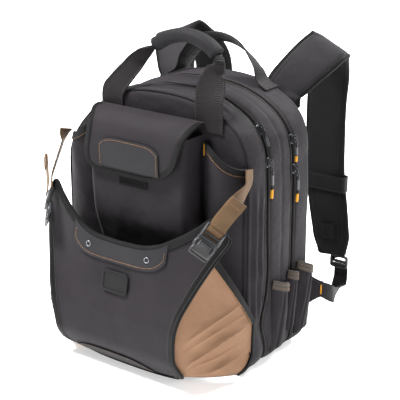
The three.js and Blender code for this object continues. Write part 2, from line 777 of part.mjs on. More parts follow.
function makeHandles() {
  const wide = handleWebWidth;
  const narrow = gripWebWidth;
  const flat = -webThick / 2 - clear;
  const level = vec(0, 1, 0);
  const front = [
    { at: vec(-73, flat, 377), across: vec(1, 0, 0), width: wide * 0.84 },
    { at: vec(-73, flat, 404), across: vec(1, 0, 0.05), width: wide * 0.84 },
    { at: vec(-65, flat, 418), across: vec(1, 0, -0.1), width: wide * 0.75 },
    { at: vec(-42, 6, 447), across: vec(0.95, 0.2, -0.3), width: wide * 0.6 },
    { at: vec(-25, 12, 468), across: vec(0.6, 0.7, -0.4), width: wide * 0.48 },
    { at: vec(-6, 15, 482), across: level, width: narrow },
    { at: vec(22, 15, 498), across: level, width: narrow },
    { at: vec(54, 15, 503.5), across: level, width: narrow },
    { at: vec(84, 15, 496.5), across: level, width: narrow },
    { at: vec(105, 15, 481), across: level, width: narrow },
    { at: vec(109, 12, 469), across: vec(0.6, 0.8, 0), width: wide * 0.4 },
    { at: vec(104, 9, 457), across: vec(0.95, 0.3, 0.1), width: wide * 0.68 },
    { at: vec(101, 4, 437), across: vec(1, 0.1, 0.05), width: wide * 0.98 },
    { at: vec(101, flat, 415), across: vec(1, 0, 0.1), width: wide },
    { at: vec(102, flat, 374), across: vec(1, 0, 0.05), width: wide },
  ];
  addPiece("front_handle", ribbon(front, 34, webThick), "web");

  // The grip is a sleeve round the middle of the handle.
  const path = new THREE.CatmullRomCurve3(
    front.map((station) => station.at),
    false,
    "centripetal",
  );
  const sleeve = (depth, height) => {
    const rows = [];
    for (let i = 0; i <= 10; i++) {
      const t = (5.1 + (3.8 * i) / 10) / (front.length - 1);
      const tangent = path.getTangent(t);
      const side = level.clone().addScaledVector(tangent, -tangent.y).normalize();
      const up = tangent.clone().cross(side);
      const row = [];
      for (let k = 0; k < 10; k++) {
        const angle = ((k + 0.5) / 10) * 2 * Math.PI;
        const point = path.getPoint(t).addScaledVector(side, (depth / 2) * Math.cos(angle));
        row.push(point.addScaledVector(up, (height / 2) * Math.sin(angle)));
      }
      rows.push(row);
    }
    return rows;
  };
  const grip = wallBetween(
    sleeve(gripDepth, gripHeight),
    sleeve(narrow + 4, webThick + 7),
    true,
  );
  addPiece("front_grip", grip, "mesh");

  // The rear handle arches over the rear band, its ends lying on the arch.
  const y = rearEnd - 22;
  const centre = bodyLean;
  const tilt = vec(0, 0.75, -0.65);
  const archAt = (x) => {
    const share = (Math.abs(x) / halfBody) ** bodyPower;
    return bodyTop - shoulderHeight * (1 - (1 - share) ** (1 / bodyPower));
  };
  const half = [
    { x: 92, rise: 1.9, across: vec(0, 1, 0) },
    { x: 76, rise: 4.5, across: vec(0, 1, -0.1) },
    { x: 64, rise: 22, across: vec(0, 0.9, -0.5) },
    { x: 36, rise: rearHandleRise * 0.85, across: tilt },
  ];
  const rear = [
    ...half.map(({ x, rise, across }) => ({ x: -x, rise, across })),
    { x: 0, rise: rearHandleRise, across: tilt },
    ...[...half].reverse(),
  ].map(({ x, rise, across }) => ({
    at: vec(centre + x, y, archAt(x) + rise),
    across,
    width: rearWebWidth,
  }));
  addPiece("rear_handle", ribbon(rear, 28, webThick), "web");
}

// Padded shoulder straps: each rises from the top of the back, folds over and hangs down.
// They are limp, so the left one has folded over a little lower and further in.
function makeShoulderStraps() {
  const width = strapHalfWidth * 2;
  const root = backFace + clear + strapThick / 2;
  const station = (x, y, z, across, share = 1) => ({
    at: vec(x, y, z),
    across: vec(...across),
    width: width * share,
  });
  const hanging = (sign) => [
    station(sign * 117, 302, 300, [1, 0, 0]),
    station(sign * 120, 301, 235, [1, 0, 0]),
    station(sign * 128, 300, 180, [1, 0, 0]),
    station(sign * 136, 300, 128, [1, 0, sign * -0.1], 0.86),
    station(sign * 139, 300, 97, [1, 0, sign * -0.1], 0.6),
  ];
  const straps = {
    right: [
      station(101, root + 4, 374, [0.62, 0, -0.78], 0.85),
      station(103, root + 7, 396, [0.62, 0, -0.78], 0.85),
      station(117, root + 21, 418, [0.7, 0, -0.7], 0.92),
      station(136, 228, 443, [0.85, 0, -0.5]),
      station(150, 244, 459, [0.91, 0, -0.41]),
      station(142, 262, 455, [0.91, 0, -0.41]),
      station(131, 281, 434, [0.98, 0, -0.2]),
      station(123, 296, 402, [1, 0, -0.05]),
      station(117, 302, 356, [1, 0, 0]),
      ...hanging(1),
    ],
    left: [
      station(-100, root + 2, 372, [0.9, 0, 0.3], 0.95),
      station(-100, root + 5, 392, [0.9, 0, 0.3], 0.95),
      station(-112, root + 19, 412, [0.85, 0.2, 0.3]),
      station(-128, 226, 432, [0.81, 0.4, 0.28]),
      station(-139, 243, 444, [0.81, 0.48, 0.26]),
      station(-135, 262, 443, [0.83, 0.45, 0.24]),
      station(-121, 282, 427, [0.95, 0.25, 0.12]),
      station(-106, 295, 404, [1, 0.1, 0]),
      station(-104, 302, 356, [1, 0, 0]),
      ...hanging(-1),
    ],
  };
  for (const { name, sign } of sides) {
    addPiece(`shoulder_strap_${name}`, ribbon(straps[name], 30, strapThick), "nylonDark");

    const loopAt = (spread) => {
      const w = width / 2 + spread + 1;
      const d = strapThick / 2 + spread;
      return [
        [-w, -d],
        [0, -d],
        [w, -d],
        [w, d],
        [0, d],
        [-w, d],
      ];
    };
    const rows = (spread) =>
      [-0.5, 0.5].map((share) =>
        loopAt(spread).map(([x, y]) =>
          vec(sign * (120.5 - share * 4 + x), 301 + y, 221 + share * crossWebWidth),
        ),
      );
    const band = wallBetween(rows(1 + webThick), rows(1), true);
    addPiece(`cross_web_${name}`, band, "web");

    const lock = roundedShape(lockWidth, lockHeight, 4);
    lock.holes.push(slotHole(lowerWebWidth + 1, 4.5, -lockHeight / 2 + 5.5));
    lock.holes.push(slotHole(lowerWebWidth + 1, 4.5, lockHeight / 2 - 5.5));
    const lockAt = vec(sign * 153, 300 - lockThick / 2, 85.5);
    const lockGeometry = placed(extrude(lock, lockThick), lockAt, vec(0, 0, 1), vec(0, 1, 0));
    addPiece(`ladder_lock_${name}`, lockGeometry, "plastic");

    const side = vec(1, 0, 0);
    const lower = [
      { at: vec(153, 297, 80), across: side, width: lowerWebWidth },
      { at: vec(153, 302, 80), across: side, width: lowerWebWidth },
      { at: vec(153, 307, 78.5), across: side, width: lowerWebWidth },
      { at: vec(153, 308, 72), across: side, width: lowerWebWidth },
      { at: vec(155, 304, 58), across: side, width: lowerWebWidth },
      { at: vec(158, 294, 47), across: vec(0.8, 0.4, 0.2), width: lowerWebWidth },
      { at: vec(166, 272, 43), across: vec(0.4, 0.3, 0.9), width: lowerWebWidth },
      { at: vec(181, 240, 54), across: vec(0.1, 0, 1), width: lowerWebWidth },
      { at: vec(190, 213, 68), across: vec(0, -0.3, 0.9), width: lowerWebWidth },
      { at: vec(186, 197.5, 79), across: vec(0, 0, 1), width: lowerWebWidth },
      { at: vec(175, 187.6, 84), across: vec(0, 0, 1), width: lowerWebWidth },
    ];
    addPiece(`lower_webbing_${name}`, ribbon(mirrored(lower, sign), 22, webThick), "web");

    // Cloth wing that anchors the webbing to the rear corner of the body.
    const wing = new THREE.Shape();
    wing.moveTo(0, -28);
    wing.lineTo(0, 28);
    wing.lineTo(32, 12);
    wing.lineTo(32, -12);
    wing.closePath();
    const wingOut = vec(sign * 0.6, -0.8, 0);
    const wingAt = vec(sign * (halfBody - 9.4), rearEnd + 6, 84);
    const wingGeometry = extrude(wing, 3);
    if (sign < 0) wingGeometry.rotateY(Math.PI).translate(0, 0, 3);
    addPiece(`strap_wing_${name}`, placed(wingGeometry, wingAt, vec(0, 0, 1), wingOut), "nylonDark");
  }
}

// Open pockets low on both sides: mouths slope down towards the back.
const sidePockets = [
  { place: "front", start: 0.385, end: 0.61, foot: 22, high: 138, low: 123, bulge: 15 },
  { place: "middle", start: 0.64, end: 0.765, foot: 40, high: 140, low: 132, bulge: 12 },
  { place: "rear", start: 0.795, end: 1, foot: 26, high: 147, low: 129, bulge: 17 },
];

function makeSidePockets() {
  for (const { name, sign } of sides) {
    for (const { place, start, end, foot, high, low, bulge } of sidePockets) {
      const surfaceAt = (u, v) => {
        const y = rearEnd * THREE.MathUtils.lerp(start, end, u);
        const mouth = THREE.MathUtils.lerp(high, low, u);
        const z = THREE.MathUtils.lerp(foot, mouth, v);
        const swell = Math.sin(Math.PI * u) ** 0.6 * (0.18 + 0.82 * v ** 0.6);
        return vec(sign * (sideFace + 0.6 + bulge * swell), y, z);
      };
      const geometry = clothSheet(surfaceAt, 7, 4, 1.6, vec(sign, 0, 0));
      addPiece(`side_pocket_${place}_${name}`, geometry, "nylon");
    }
  }
}

// Zip sliders with their pull cords, hanging on the right side of the two zips.
const pulls = [
  { name: "front_zip_pull_upper", y: doorDepth + zipGap / 2, z: 374, length: 34 },
  { name: "front_zip_pull_lower", y: doorDepth + zipGap / 2, z: 328, length: 56 },
  { name: "rear_zip_pull_upper", y: middleEnd + zipGap / 2, z: 346, length: 34 },
  { name: "rear_zip_pull_lower", y: middleEnd + zipGap / 2, z: 300, length: 54 },
];

function makePulls() {
  const outline = bodyOutline(0).filter(([x]) => x > bodyLean);
  for (const { name, y, z, length } of pulls) {
    const table = outline.map(([x, height]) => ({ x, height }));
    const x = lookUp(table, "height", "x", z);
    const below = lookUp(table, "height", "x", z - 10);
    const along = vec(x - below, 0, 10).normalize();
    const out = vec(along.z, 0, -along.x);
    const drift = seamDrift * driftShare(z) * (y > middleEnd ? 1 : 0);
    const at = vec(x, y + drift, z).addScaledVector(out, -1.3);
    const slider = extrude(roundedShape(7, 14, 3), 6);
    placed(slider, at, along, out);
    const hang = [
      { at: at.clone().addScaledVector(out, 5), across: vec(0, 1, 0), width: 5 },
      {
        at: at.clone().addScaledVector(out, 8).addScaledVector(along, -10),
        across: vec(0, 1, 0),
        width: 5,
      },
      {
        at: vec(lookUp(table, "height", "x", z - length) + 6, at.y, z - length),
        across: vec(0, 1, 0),
        width: 6,
      },
    ];
    const cord = toManifold(ribbon(hang, 8, 3.5));
    addPiece(name, fromManifold(toManifold(slider).add(cord)), "web");
  }
}

makeBody();
makeFrontPocket();
makeDoorPockets();
makeFrontStraps();
makeHandles();
makeShoulderStraps();
makeSidePockets();
makePulls();

// The frame's origin is the middle of the foot of the whole pack.
const extent = new THREE.Box3().setFromObject(pack);
pack.position.set(
  -(extent.min.x + extent.max.x) / 2,
  -(extent.min.y + extent.max.y) / 2,
  -extent.min.z,
);
const object = new THREE.Group();
object.add(pack);

export default object;
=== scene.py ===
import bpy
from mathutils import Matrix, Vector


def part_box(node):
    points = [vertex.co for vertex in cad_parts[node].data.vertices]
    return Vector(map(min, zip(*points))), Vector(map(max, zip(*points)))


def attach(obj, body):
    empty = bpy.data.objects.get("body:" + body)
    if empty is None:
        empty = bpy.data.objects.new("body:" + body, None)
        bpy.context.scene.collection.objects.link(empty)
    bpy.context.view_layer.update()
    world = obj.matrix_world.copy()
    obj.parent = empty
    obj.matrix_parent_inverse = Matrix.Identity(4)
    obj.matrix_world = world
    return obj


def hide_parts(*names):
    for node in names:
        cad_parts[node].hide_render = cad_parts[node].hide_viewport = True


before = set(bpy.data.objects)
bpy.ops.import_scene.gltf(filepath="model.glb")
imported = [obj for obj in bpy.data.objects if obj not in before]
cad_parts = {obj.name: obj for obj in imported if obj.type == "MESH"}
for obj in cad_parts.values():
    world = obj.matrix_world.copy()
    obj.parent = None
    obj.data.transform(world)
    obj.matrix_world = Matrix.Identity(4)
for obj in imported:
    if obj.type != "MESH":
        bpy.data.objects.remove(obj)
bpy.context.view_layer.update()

import math
import bmesh
import bpy
import numpy as np
from mathutils import Vector

mm = 0.001
xAxis, yAxis, zAxis = np.eye(3)
# millimetres between two sewn pieces
seamGap = 0.35
sides = (("left", -1), ("right", 1))
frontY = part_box("front_door")[0][1]  # the body's front face, y = 0 in the sizes below
print("frame loaded, front face at y", round(frontY, 4))

# Numbers and curves


def smooth(x, low, high):
    # cubic ease from 0 at low to 1 at high
    t = np.clip((x - low) / (high - low), 0, 1)
    return t * t * (3 - 2 * t)


def mix(a, b, t):
    # a share t of the way from a to b
    return a + (b - a) * t


def unit(v):
    # vectors divided by their lengths
    return v / np.maximum(np.linalg.norm(v, axis=-1, keepdims=True), 1e-9)


def eased(keys, values, x):
    # monotone cubic through the table's points: each slope is the weighted harmonic mean of its
    # two neighbours, and nought at a peak
    keys, values = np.asarray(keys, float), np.asarray(values, float)
    x = np.clip(np.asarray(x, float), keys[0], keys[-1])
    step = np.diff(keys)
    slope = np.diff(values) / step
    bend = np.zeros(len(keys))
    if len(keys) > 2:
        before, after = slope[:-1], slope[1:]
        w1, w2 = 2 * step[1:] + step[:-1], step[1:] + 2 * step[:-1]
        same = before * after > 0
        safe = np.where(same, before, 1), np.where(same, after, 1)
        bend[1:-1] = np.where(same, (w1 + w2) / (w1 / safe[0] + w2 / safe[1]), 0)
    bend[0], bend[-1] = slope[0], slope[-1]
    i = np.clip(np.searchsorted(keys, x, side="right") - 1, 0, len(step) - 1)
    t = (x - keys[i]) / step[i]
    rise = values[i] * (1 + 2 * t) * (1 - t) ** 2 + values[i + 1] * t * t * (3 - 2 * t)
    return rise + step[i] * t * (1 - t) * (bend[i] * (1 - t) - bend[i + 1] * t)


def softNoise(points, size, seed):
    # random heights on a lattice of cubes `size` wide, eased between their corners, -1 to 1
    place = np.asarray(points) / size
    cell = np.floor(place).astype(np.int64)
    t = place - cell
    t = t * t * (3 - 2 * t)
    total = np.zeros(place.shape[:-1])
    for corner in range(8):
        side = np.array([corner & 1, corner >> 1 & 1, corner >> 2 & 1])
        k = cell + side
        h = k[..., 0] * 374761393 + k[..., 1] * 668265263 + k[..., 2] * 2147483647
        h = (h + seed * 974634777) & 0xFFFFFFFF
        h = ((h ^ (h >> 13)) * 1274126177) & 0xFFFFFFFF
        h = h ^ (h >> 16)
        weight = np.prod(np.where(side == 1, t, 1 - t), axis=-1)
        total += ((h & 0xFFFF) / 32767.5 - 1) * weight
    return total


def folds(points, size, seed, octaves=3, gain=0.5):
    # soft noise added at halving sizes and falling heights
    total = 0
    for k in range(octaves):
        total = total + softNoise(points, size / 2**k, seed + 17 * k) * gain**k
    return total


def throughPoints(points, count):
    # centripetal Catmull-Rom curve through the points, `count` + 1 places evenly in its parameter,
    # with its tangents
    p = np.asarray(points, float)
    p = np.concatenate([[2 * p[0] - p[1]], p, [2 * p[-1] - p[-2]]])
    place = np.linspace(0, len(p) - 3, count + 1)
    i = np.minimum(place.astype(int), len(p) - 4)
    t = (place - i)[:, None]
    a, b, c, d = p[i], p[i + 1], p[i + 2], p[i + 3]
    gaps = [
        np.maximum(np.linalg.norm(y - x, axis=1, keepdims=True) ** 0.5, 1e-4) for x,
        y in ((a, b), (b, c), (c, d))
    ]
    e, f, g = gaps
    m1 = ((b - a) / e - (c - a) / (e + f) + (c - b) / f) * f
    m2 = ((c - b) / f - (d - b) / (f + g) + (d - c) / g) * f
    k2 = -3 * b + 3 * c - 2 * m1 - m2
    k3 = 2 * b - 2 * c + m1 + m2
    return b + m1 * t + k2 * t**2 + k3 * t**3, unit(m1 + 2 * k2 * t + 3 * k3 * t**2), place


def evenly(path, spacing, closed=False):
    # the path's indices, as fractions, at equal steps of length
    line = np.concatenate([path, path[:1]]) if closed else path
    run = np.concatenate([[0], np.cumsum(np.linalg.norm(np.diff(line, axis=0), axis=1))])
    count = max(int(run[-1] / spacing), 1)
    return np.interp((np.arange(count) + 0.5) * run[-1] / count, run, np.arange(len(line)))


def pick(values, at, closed=False):
    # values of a list of vectors at fractional indices
    line = np.concatenate([values, values[:1]]) if closed else values
    low = np.clip(at.astype(int), 0, len(line) - 2)
    return mix(line[low], line[low + 1], (at - low)[:, None])


# Meshes from grids of points


def gridQuads(rows, cols, closedCols=False, closedRows=False):
    # faces between neighbouring points of a grid, and each corner's column and row
    r = np.arange(rows if closedRows else rows - 1)
    c = np.arange(cols if closedCols else cols - 1)
    r, c = [k.ravel() for k in np.meshgrid(r, c, indexing="ij")]
    r2, c2 = (r + 1) % rows, (c + 1) % cols
    quads = np.stack([r * cols + c, r * cols + c2, r2 * cols + c2, r2 * cols + c], 1)
    corners = np.stack([np.stack(k, 1) for k in ((c, r), (c + 1, r), (c + 1, r + 1), (c, r + 1))], 1)
    return quads, corners


def runLengths(grid, closedCols=False, closedRows=False):
    # metres along a grid's columns and rows, as the mean over the other direction
    wide = np.concatenate([grid, grid[:, :1]], 1) if closedCols else grid
    tall = np.concatenate([grid, grid[:1]], 0) if closedRows else grid
    u = np.linalg.norm(np.diff(wide, axis=1), axis=-1).mean(0)
    v = np.linalg.norm(np.diff(tall, axis=0), axis=-1).mean(1)
    return np.concatenate([[0], np.cumsum(u)]) * mm, np.concatenate([[0], np.cumsum(v)]) * mm


def faceOut(points, quads, uv):
    # reverses the faces where the volume that they close is negative
    a, b, c, d = [points[quads[:, k]] for k in range(4)]
    volume = np.einsum("ij,ij->", a, np.cross(b, c)) + np.einsum("ij,ij->", a, np.cross(c, d))
    return (points, quads, uv) if volume > 0 else (points, quads[:, ::-1], uv[:, ::-1])


def gridNormals(grid, closed=False):
    # cross product of the steps along a grid's columns and rows; a pole's row takes the mean of
    # the next one
    across = np.roll(grid, -1, 1) - np.roll(grid, 1, 1) if closed else np.gradient(grid, axis=1)
    normals = np.cross(across, np.gradient(grid, axis=0))
    flat = np.append(np.linalg.norm(normals, axis=-1).mean(1) < 1e-6, True)
    normals = unit(normals)
    for row in np.nonzero(flat[:-1])[0]:
        normals[row] = unit(normals[row - 1 if flat[row + 1] else row + 1].mean(0))
    return normals


def outwards(grid, out=None, centre=None, closed=False):
    # normals turned to the side that `out` points to, or away from `centre`
    normals = gridNormals(grid, closed)
    r, c = grid.shape[0] // 2, grid.shape[1] // 2
    want = np.asarray(out, float) if out is not None else grid[r, c] - np.asarray(centre, float)
    return normals if normals[r, c] @ want > 0 else -normals


def clothShell(grid, thickness, normals, closed=False):
    # the grid, a copy moved back by the thickness, and a strip of faces round the rim
    rows, cols = grid.shape[:2]
    u, v = runLengths(grid, closed)
    quads, corners = gridQuads(rows, cols, closed)
    uv = np.stack([u[corners[..., 0]], v[corners[..., 1]]], -1)
    back = rows * cols
    allQuads, allUv = [quads, quads[:, ::-1] + back], [uv, uv[:, ::-1]]
    c = np.arange(cols if closed else cols - 1)
    after, last = (c + 1) % cols, (rows - 1) * cols
    for a, b, ua, ub, row in ((c, after, c, c + 1, 0), (after + last, c + last, c + 1, c, rows - 1)):
        allQuads.append(np.stack([b, a, a + back, b + back], 1))
        allUv.append(np.stack([np.stack([u[k], np.full(len(k), v[row])], -1) for k in (ub, ua, ua, ub)], 1))
    if not closed:
        r = np.arange(rows - 1)
        first, far = r * cols, r * cols + cols - 1
        for a, b, va, vb, col in (
            (first, first + cols, r, r + 1, 0), (far + cols, far, r + 1, r, cols - 1)
        ):
            allQuads.append(np.stack([a, b, b + back, a + back], 1))
            allUv.append(
                np.stack([np.stack([np.full(len(k), u[col]), v[k]], -1) for k in (va, vb, vb, va)], 1)
            )
    points = np.concatenate([grid.reshape(-1, 3), (grid - normals * thickness).reshape(-1, 3)])
    return faceOut(points, np.concatenate(allQuads), np.concatenate(allUv))


def ringShell(grid, thickness, **way):
    # a cloth shell on a grid whose rows are closed loops
    return clothShell(grid, thickness, outwards(grid, closed=True, **way), True)


def gridMesh(grid, closedRows=False):
    # faces between the points of a grid with closed columns, cloth coordinates in metres
    u, v = runLengths(grid, True, closedRows)
    quads, corners = gridQuads(*grid.shape[:2], True, closedRows)
    uv = np.stack([u[corners[..., 0]], v[corners[..., 1]]], -1)
    return faceOut(grid.reshape(-1, 3), quads, uv)


def sweep(path, across, lift, profile, closed=False):
    # each profile point (a, b) goes to path + a * across + b * lift; the ends close to a point
    if profile.ndim == 2:
        profile = np.repeat(profile[None], len(path), 0)
    grid = path[:, None] + profile[..., :1] * across[:, None] + profile[..., 1:] * lift[:, None]
    if not closed:
        ends = [np.repeat(row.mean(0)[None], grid.shape[1], 0)[None] for row in (grid[0], grid[-1])]
        grid = np.concatenate([ends[0], grid, ends[1]])
    return gridMesh(grid, closed)


def roundProfile(width, thick, power=4.0, count=20, centre=(0, 0)):
    # superellipse: both half sizes times cosine and sine to the power 2 / power
    a = (np.arange(count) + 0.5) / count * 2 * np.pi
    x = np.sign(np.cos(a)) * np.abs(np.cos(a)) ** (2 / power) * width / 2
    y = np.sign(np.sin(a)) * np.abs(np.sin(a)) ** (2 / power) * thick / 2
    return np.stack([x + centre[0], y + centre[1]], 1)


def tangents(path, closed=False):
    # unit steps from each point's neighbour before to the one after
    return unit(np.roll(path, -1, 0) - np.roll(path, 1, 0) if closed else np.gradient(path, axis=0))


def frames(path, up, closed=False):
    # across is the part of `up` square to the path, and lift is square to both
    along = tangents(path, closed)
    up = np.broadcast_to(np.asarray(up, float), path.shape)
    across = unit(up - along * np.sum(up * along, 1, keepdims=True))
    return across, np.cross(along, across)


def edgeFrame(edge, inner, want):
    # square to a cloth's edge: the way into the cloth towards `inner`, and the way out of its
    # face on the side that `want` points to
    along = tangents(edge)
    out = unit(np.cross(along, unit(inner - edge)))
    out = np.where((out @ np.asarray(want, float) < 0)[:, None], -out, out)
    into = unit(np.cross(out, along))
    return np.where(np.sum(into * (inner - edge), 1, keepdims=True) < 0, -into, into), out


def tube(path, radius, closed=False, count=10, up=(0.3, 0.2, 0.93)):
    # a round profile along a path
    across, lift = frames(path, up, closed)
    return sweep(path, across, lift, roundProfile(2 * radius, 2 * radius, 2, count), closed)


def tape(path, up, width, thick, closed=False, power=5.0, count=20):
    # a flat rounded profile along a path, its width along `up`
    across, lift = frames(path, up, closed)
    return sweep(path, across, lift, roundProfile(width, thick, power, count), closed)


def roundedLoop(w, h, r, count):
    # a rectangle of half sizes w and h with quarter circles of radius r at its corners
    a = np.linspace(0, np.pi / 2, count)
    x, y = w - r + r * np.cos(a), h - r + r * np.sin(a)
    return np.concatenate(
        [np.stack(k, 1) for k in ((x, y), (-x[::-1], y[::-1]), (-x, -y), (x[::-1], -y[::-1]))]
    )


def cornerPath(corners, steps):
    # straight runs between the corners, with `steps` points to each
    t = np.linspace(0, 1, steps + 1)[:-1, None]
    return np.concatenate([mix(a, b, t) for a, b in zip(np.array(corners[:-1]), np.array(corners[1:]))])


def plate(at, across, up, out, rings, width, height, radius):
    # rings of a rounded rectangle, each (inset, level): from a pole over the face, round the
    # edge and back to a pole; `radius` is its corner
    rows = []
    for inset, level in rings:
        w, h = max(width / 2 - inset, 0.01), max(height / 2 - inset, 0.01)
        loop = roundedLoop(w, h, min(max(radius - inset, 0.01), w, h), 10)
        rows.append(at + loop[:, :1] * across + loop[:, 1:] * up + level * out)
    return gridMesh(np.stack(rows))


def bevelRings(thick, bevel, size, dish=0.0, rim=2.5):
    # the rings of a plate: pole, shallow dish, rim, quarter round, side, quarter round, pole
    a = np.linspace(0, np.pi / 2, 4)
    face = [(size, thick - dish), (rim + bevel, thick - dish), (rim + bevel - 0.4, thick), (bevel, thick)]
    top = [(bevel - bevel * math.sin(k), thick - bevel + bevel * math.cos(k)) for k in a[1:]]
    foot = [(bevel - bevel * math.cos(k), bevel - bevel * math.sin(k)) for k in a[1:]]
    return face + top + foot + [(size, 0)]


def openFrame(at, across, up, out, width, height, radius, bar, thick, offset=0.0):
    # a rounded bar carried round a rounded rectangle: a buckle's window frame
    loop = roundedLoop((width - bar) / 2, (height - bar) / 2, max(radius - bar / 2, 0.5), 8)
    loop = loop[np.linalg.norm(loop - np.roll(loop, 1, 0), axis=1) > 1e-6]
    path = at + loop[:, :1] * across + (loop[:, 1:] + offset) * up
    lift = np.broadcast_to(out, path.shape)
    return sweep(
        path, np.cross(tangents(path, True), lift), lift, roundProfile(bar, thick, 3.2, 16), closed=True
    )


def joined(parts):
    # several meshes as one
    points, quads, uvs, start = [], [], [], 0
    for p, q, uv in parts:
        points.append(p)
        quads.append(q + start)
        uvs.append(uv)
        start += len(p)
    return np.concatenate(points), np.concatenate(quads), np.concatenate(uvs)


def addPiece(name, parts, finish, replaces=None, sharp=48):
    # one object from meshes in millimetres; doubled points, as at poles, are merged
    points, quads, uv = joined(parts if isinstance(parts, list) else [parts])
    points = points * mm
    points[:, 1] += frontY
    mesh = bpy.data.meshes.new(name)
    mesh.from_pydata(points.tolist(), [], quads.tolist())
    mesh.uv_layers.new(name="cloth").data.foreach_set("uv", uv.astype(np.float32).ravel())
    work = bmesh.new()
    work.from_mesh(mesh)
    bmesh.ops.remove_doubles(work, verts=work.verts, dist=2e-6)
    bmesh.ops.dissolve_degenerate(work, dist=1e-7, edges=work.edges)
    work.to_mesh(mesh)
    work.free()
    mesh.polygons.foreach_set("use_smooth", np.ones(len(mesh.polygons), bool))
    mesh.set_sharp_from_angle(angle=math.radians(sharp))
    mesh.materials.append(finishes[finish])
    piece = bpy.data.objects.new(name, mesh)
    bpy.context.scene.collection.objects.link(piece)
    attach(piece, "root")
    if replaces:
        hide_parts(replaces)
    return piece


stitchSize = {"length": 3.1, "pitch": 4.2, "radius": 0.38}


def spindles(centre, along, side, out, length, radius, sink=0.0):
    # six-sided spindles, one at each centre, raised or sunk by a share of their radius
    a = np.arange(6) / 6 * 2 * np.pi
    radii = np.array([0.3, 1, 1, 0.3])
    t = np.repeat(np.array([-0.5, -0.3, 0.3, 0.5]) * length, 6)[:, None]
    s = (np.outer(radii, np.cos(a)).ravel() * radius)[:, None]
    o = ((np.outer(radii, np.sin(a)).ravel() + sink) * radius)[:, None]
    points = centre[:, None] + along[:, None] * t + side[:, None] * s + out[:, None] * o
    quads, _ = gridQuads(4, 6, True)
    caps = np.array([[3, 2, 1, 0], [5, 4, 3, 0], [18, 19, 20, 21], [18, 21, 22, 23]])
    quads = np.concatenate([quads, caps])
    allQuads = (quads[None] + (np.arange(len(centre)) * 24)[:, None, None]).reshape(-1, 4)
    uv = np.zeros((len(allQuads), 4, 2))
    uv[..., 0] = np.repeat(np.arange(len(centre)), len(quads))[:, None] * 0.004
    return faceOut(points.reshape(-1, 3), allQuads, uv)


def stitchRow(path, normal, closed=False, size=stitchSize):
    # a spindle at each step of the path, lying along it and a third sunk in the cloth
    normal = np.broadcast_to(np.asarray(normal, float), path.shape)
    at = evenly(path, size["pitch"], closed)
    centre, out = pick(path, at, closed), unit(pick(normal, at, closed))
    along = pick(tangents(path, closed), at, closed)
    along = unit(along - out * np.sum(along * out, 1, keepdims=True))
    return spindles(centre, along, np.cross(along, out), out, size["length"], size["radius"], 0.35)


def cutSheet(piece, grid):
    wide = np.linalg.norm(np.diff(grid, axis=1), axis=-1).sum(1).max() * mm
    long = np.linalg.norm(np.diff(grid, axis=0), axis=-1).sum(0).max() * mm
    a, b = np.diff(grid[:-1], axis=1), np.diff(grid[:, :-1], axis=0)
    area = np.linalg.norm(np.cross(a, b), axis=-1).sum() * mm * mm
    area = min(area, 0.999 * wide * long)
    print("cut", piece.name, round(wide, 4), round(long, 4), round(area, 5))


def addSheet(name, grid, thickness, out, finish, node, held=None):
    # a cloth shell on the grid, its face to `out`, with its cut size printed where `held` is given
    piece = addPiece(name, clothShell(grid, thickness, outwards(grid, out=out)), finish, node)
    if held:
        cutSheet(piece, grid)


# Finishes


def colour(code, scale=1.0):
    # a screen colour as the linear light that the shader wants
    values = [int(code[k : k + 2], 16) / 255 for k in (1, 3, 5)]
    return [scale * (v / 12.92 if v <= 0.04045 else ((v + 0.055) / 1.055) ** 2.4) for v in values] + [1]


class Nodes:
    # a material with short ways to add nodes; each way returns the socket that it makes
    def __init__(self, name):
        self.material = bpy.data.materials.new(name)
        self.material.use_nodes = True
        self.tree = self.material.node_tree
        self.shader = self.tree.nodes["Principled BSDF"]

    def add(self, kind, **settings):
        node = self.tree.nodes.new(kind)
        for key, value in settings.items():
            setattr(node, key, value)
        return node

    def put(self, socket, value):
        if isinstance(value, bpy.types.NodeSocket):
            self.tree.links.new(value, socket)
        else:
            socket.default_value = value

    def math(self, operation, a, b=0.0, c=None):
        node = self.add("ShaderNodeMath", operation=operation)
        self.put(node.inputs[0], a)
        self.put(node.inputs[1], b)
        if c is not None:
            self.put(node.inputs[2], c)
        return node.outputs[0]

    def blend(self, factor, a, b, blend="MIX"):
        node = self.add("ShaderNodeMix", data_type="RGBA", blend_type=blend)
        self.put(node.inputs[0], factor)
        self.put(node.inputs[6], a)
        self.put(node.inputs[7], b)
        return node.outputs[2]

    def noise(self, scale, detail=3.0, rough=0.55, stretch=None):
        place = self.add("ShaderNodeTexCoord").outputs["Object"]
        if stretch:
            turn = self.add("ShaderNodeMapping")
            self.tree.links.new(place, turn.inputs["Vector"])
            turn.inputs["Scale"].default_value = stretch
            place = turn.outputs[0]
        node = self.add("ShaderNodeTexNoise")
        self.put(node.inputs["Vector"], place)
        self.put(node.inputs["Scale"], scale)
        self.put(node.inputs["Detail"], detail)
        self.put(node.inputs["Roughness"], rough)
        return node.outputs[0]

    def bump(self, height, distance, strength=1.0, under=None):
        node = self.add("ShaderNodeBump")
        self.put(node.inputs["Height"], height)
        self.put(node.inputs["Distance"], distance)
        self.put(node.inputs["Strength"], strength)
        if under is not None:
            self.tree.links.new(under, node.inputs["Normal"])
        return node.outputs[0]

    def across(self):
        split = self.add("ShaderNodeSeparateXYZ")
        self.tree.links.new(self.add("ShaderNodeTexCoord").outputs["UV"], split.inputs[0])
        return split.outputs[0], split.outputs[1]


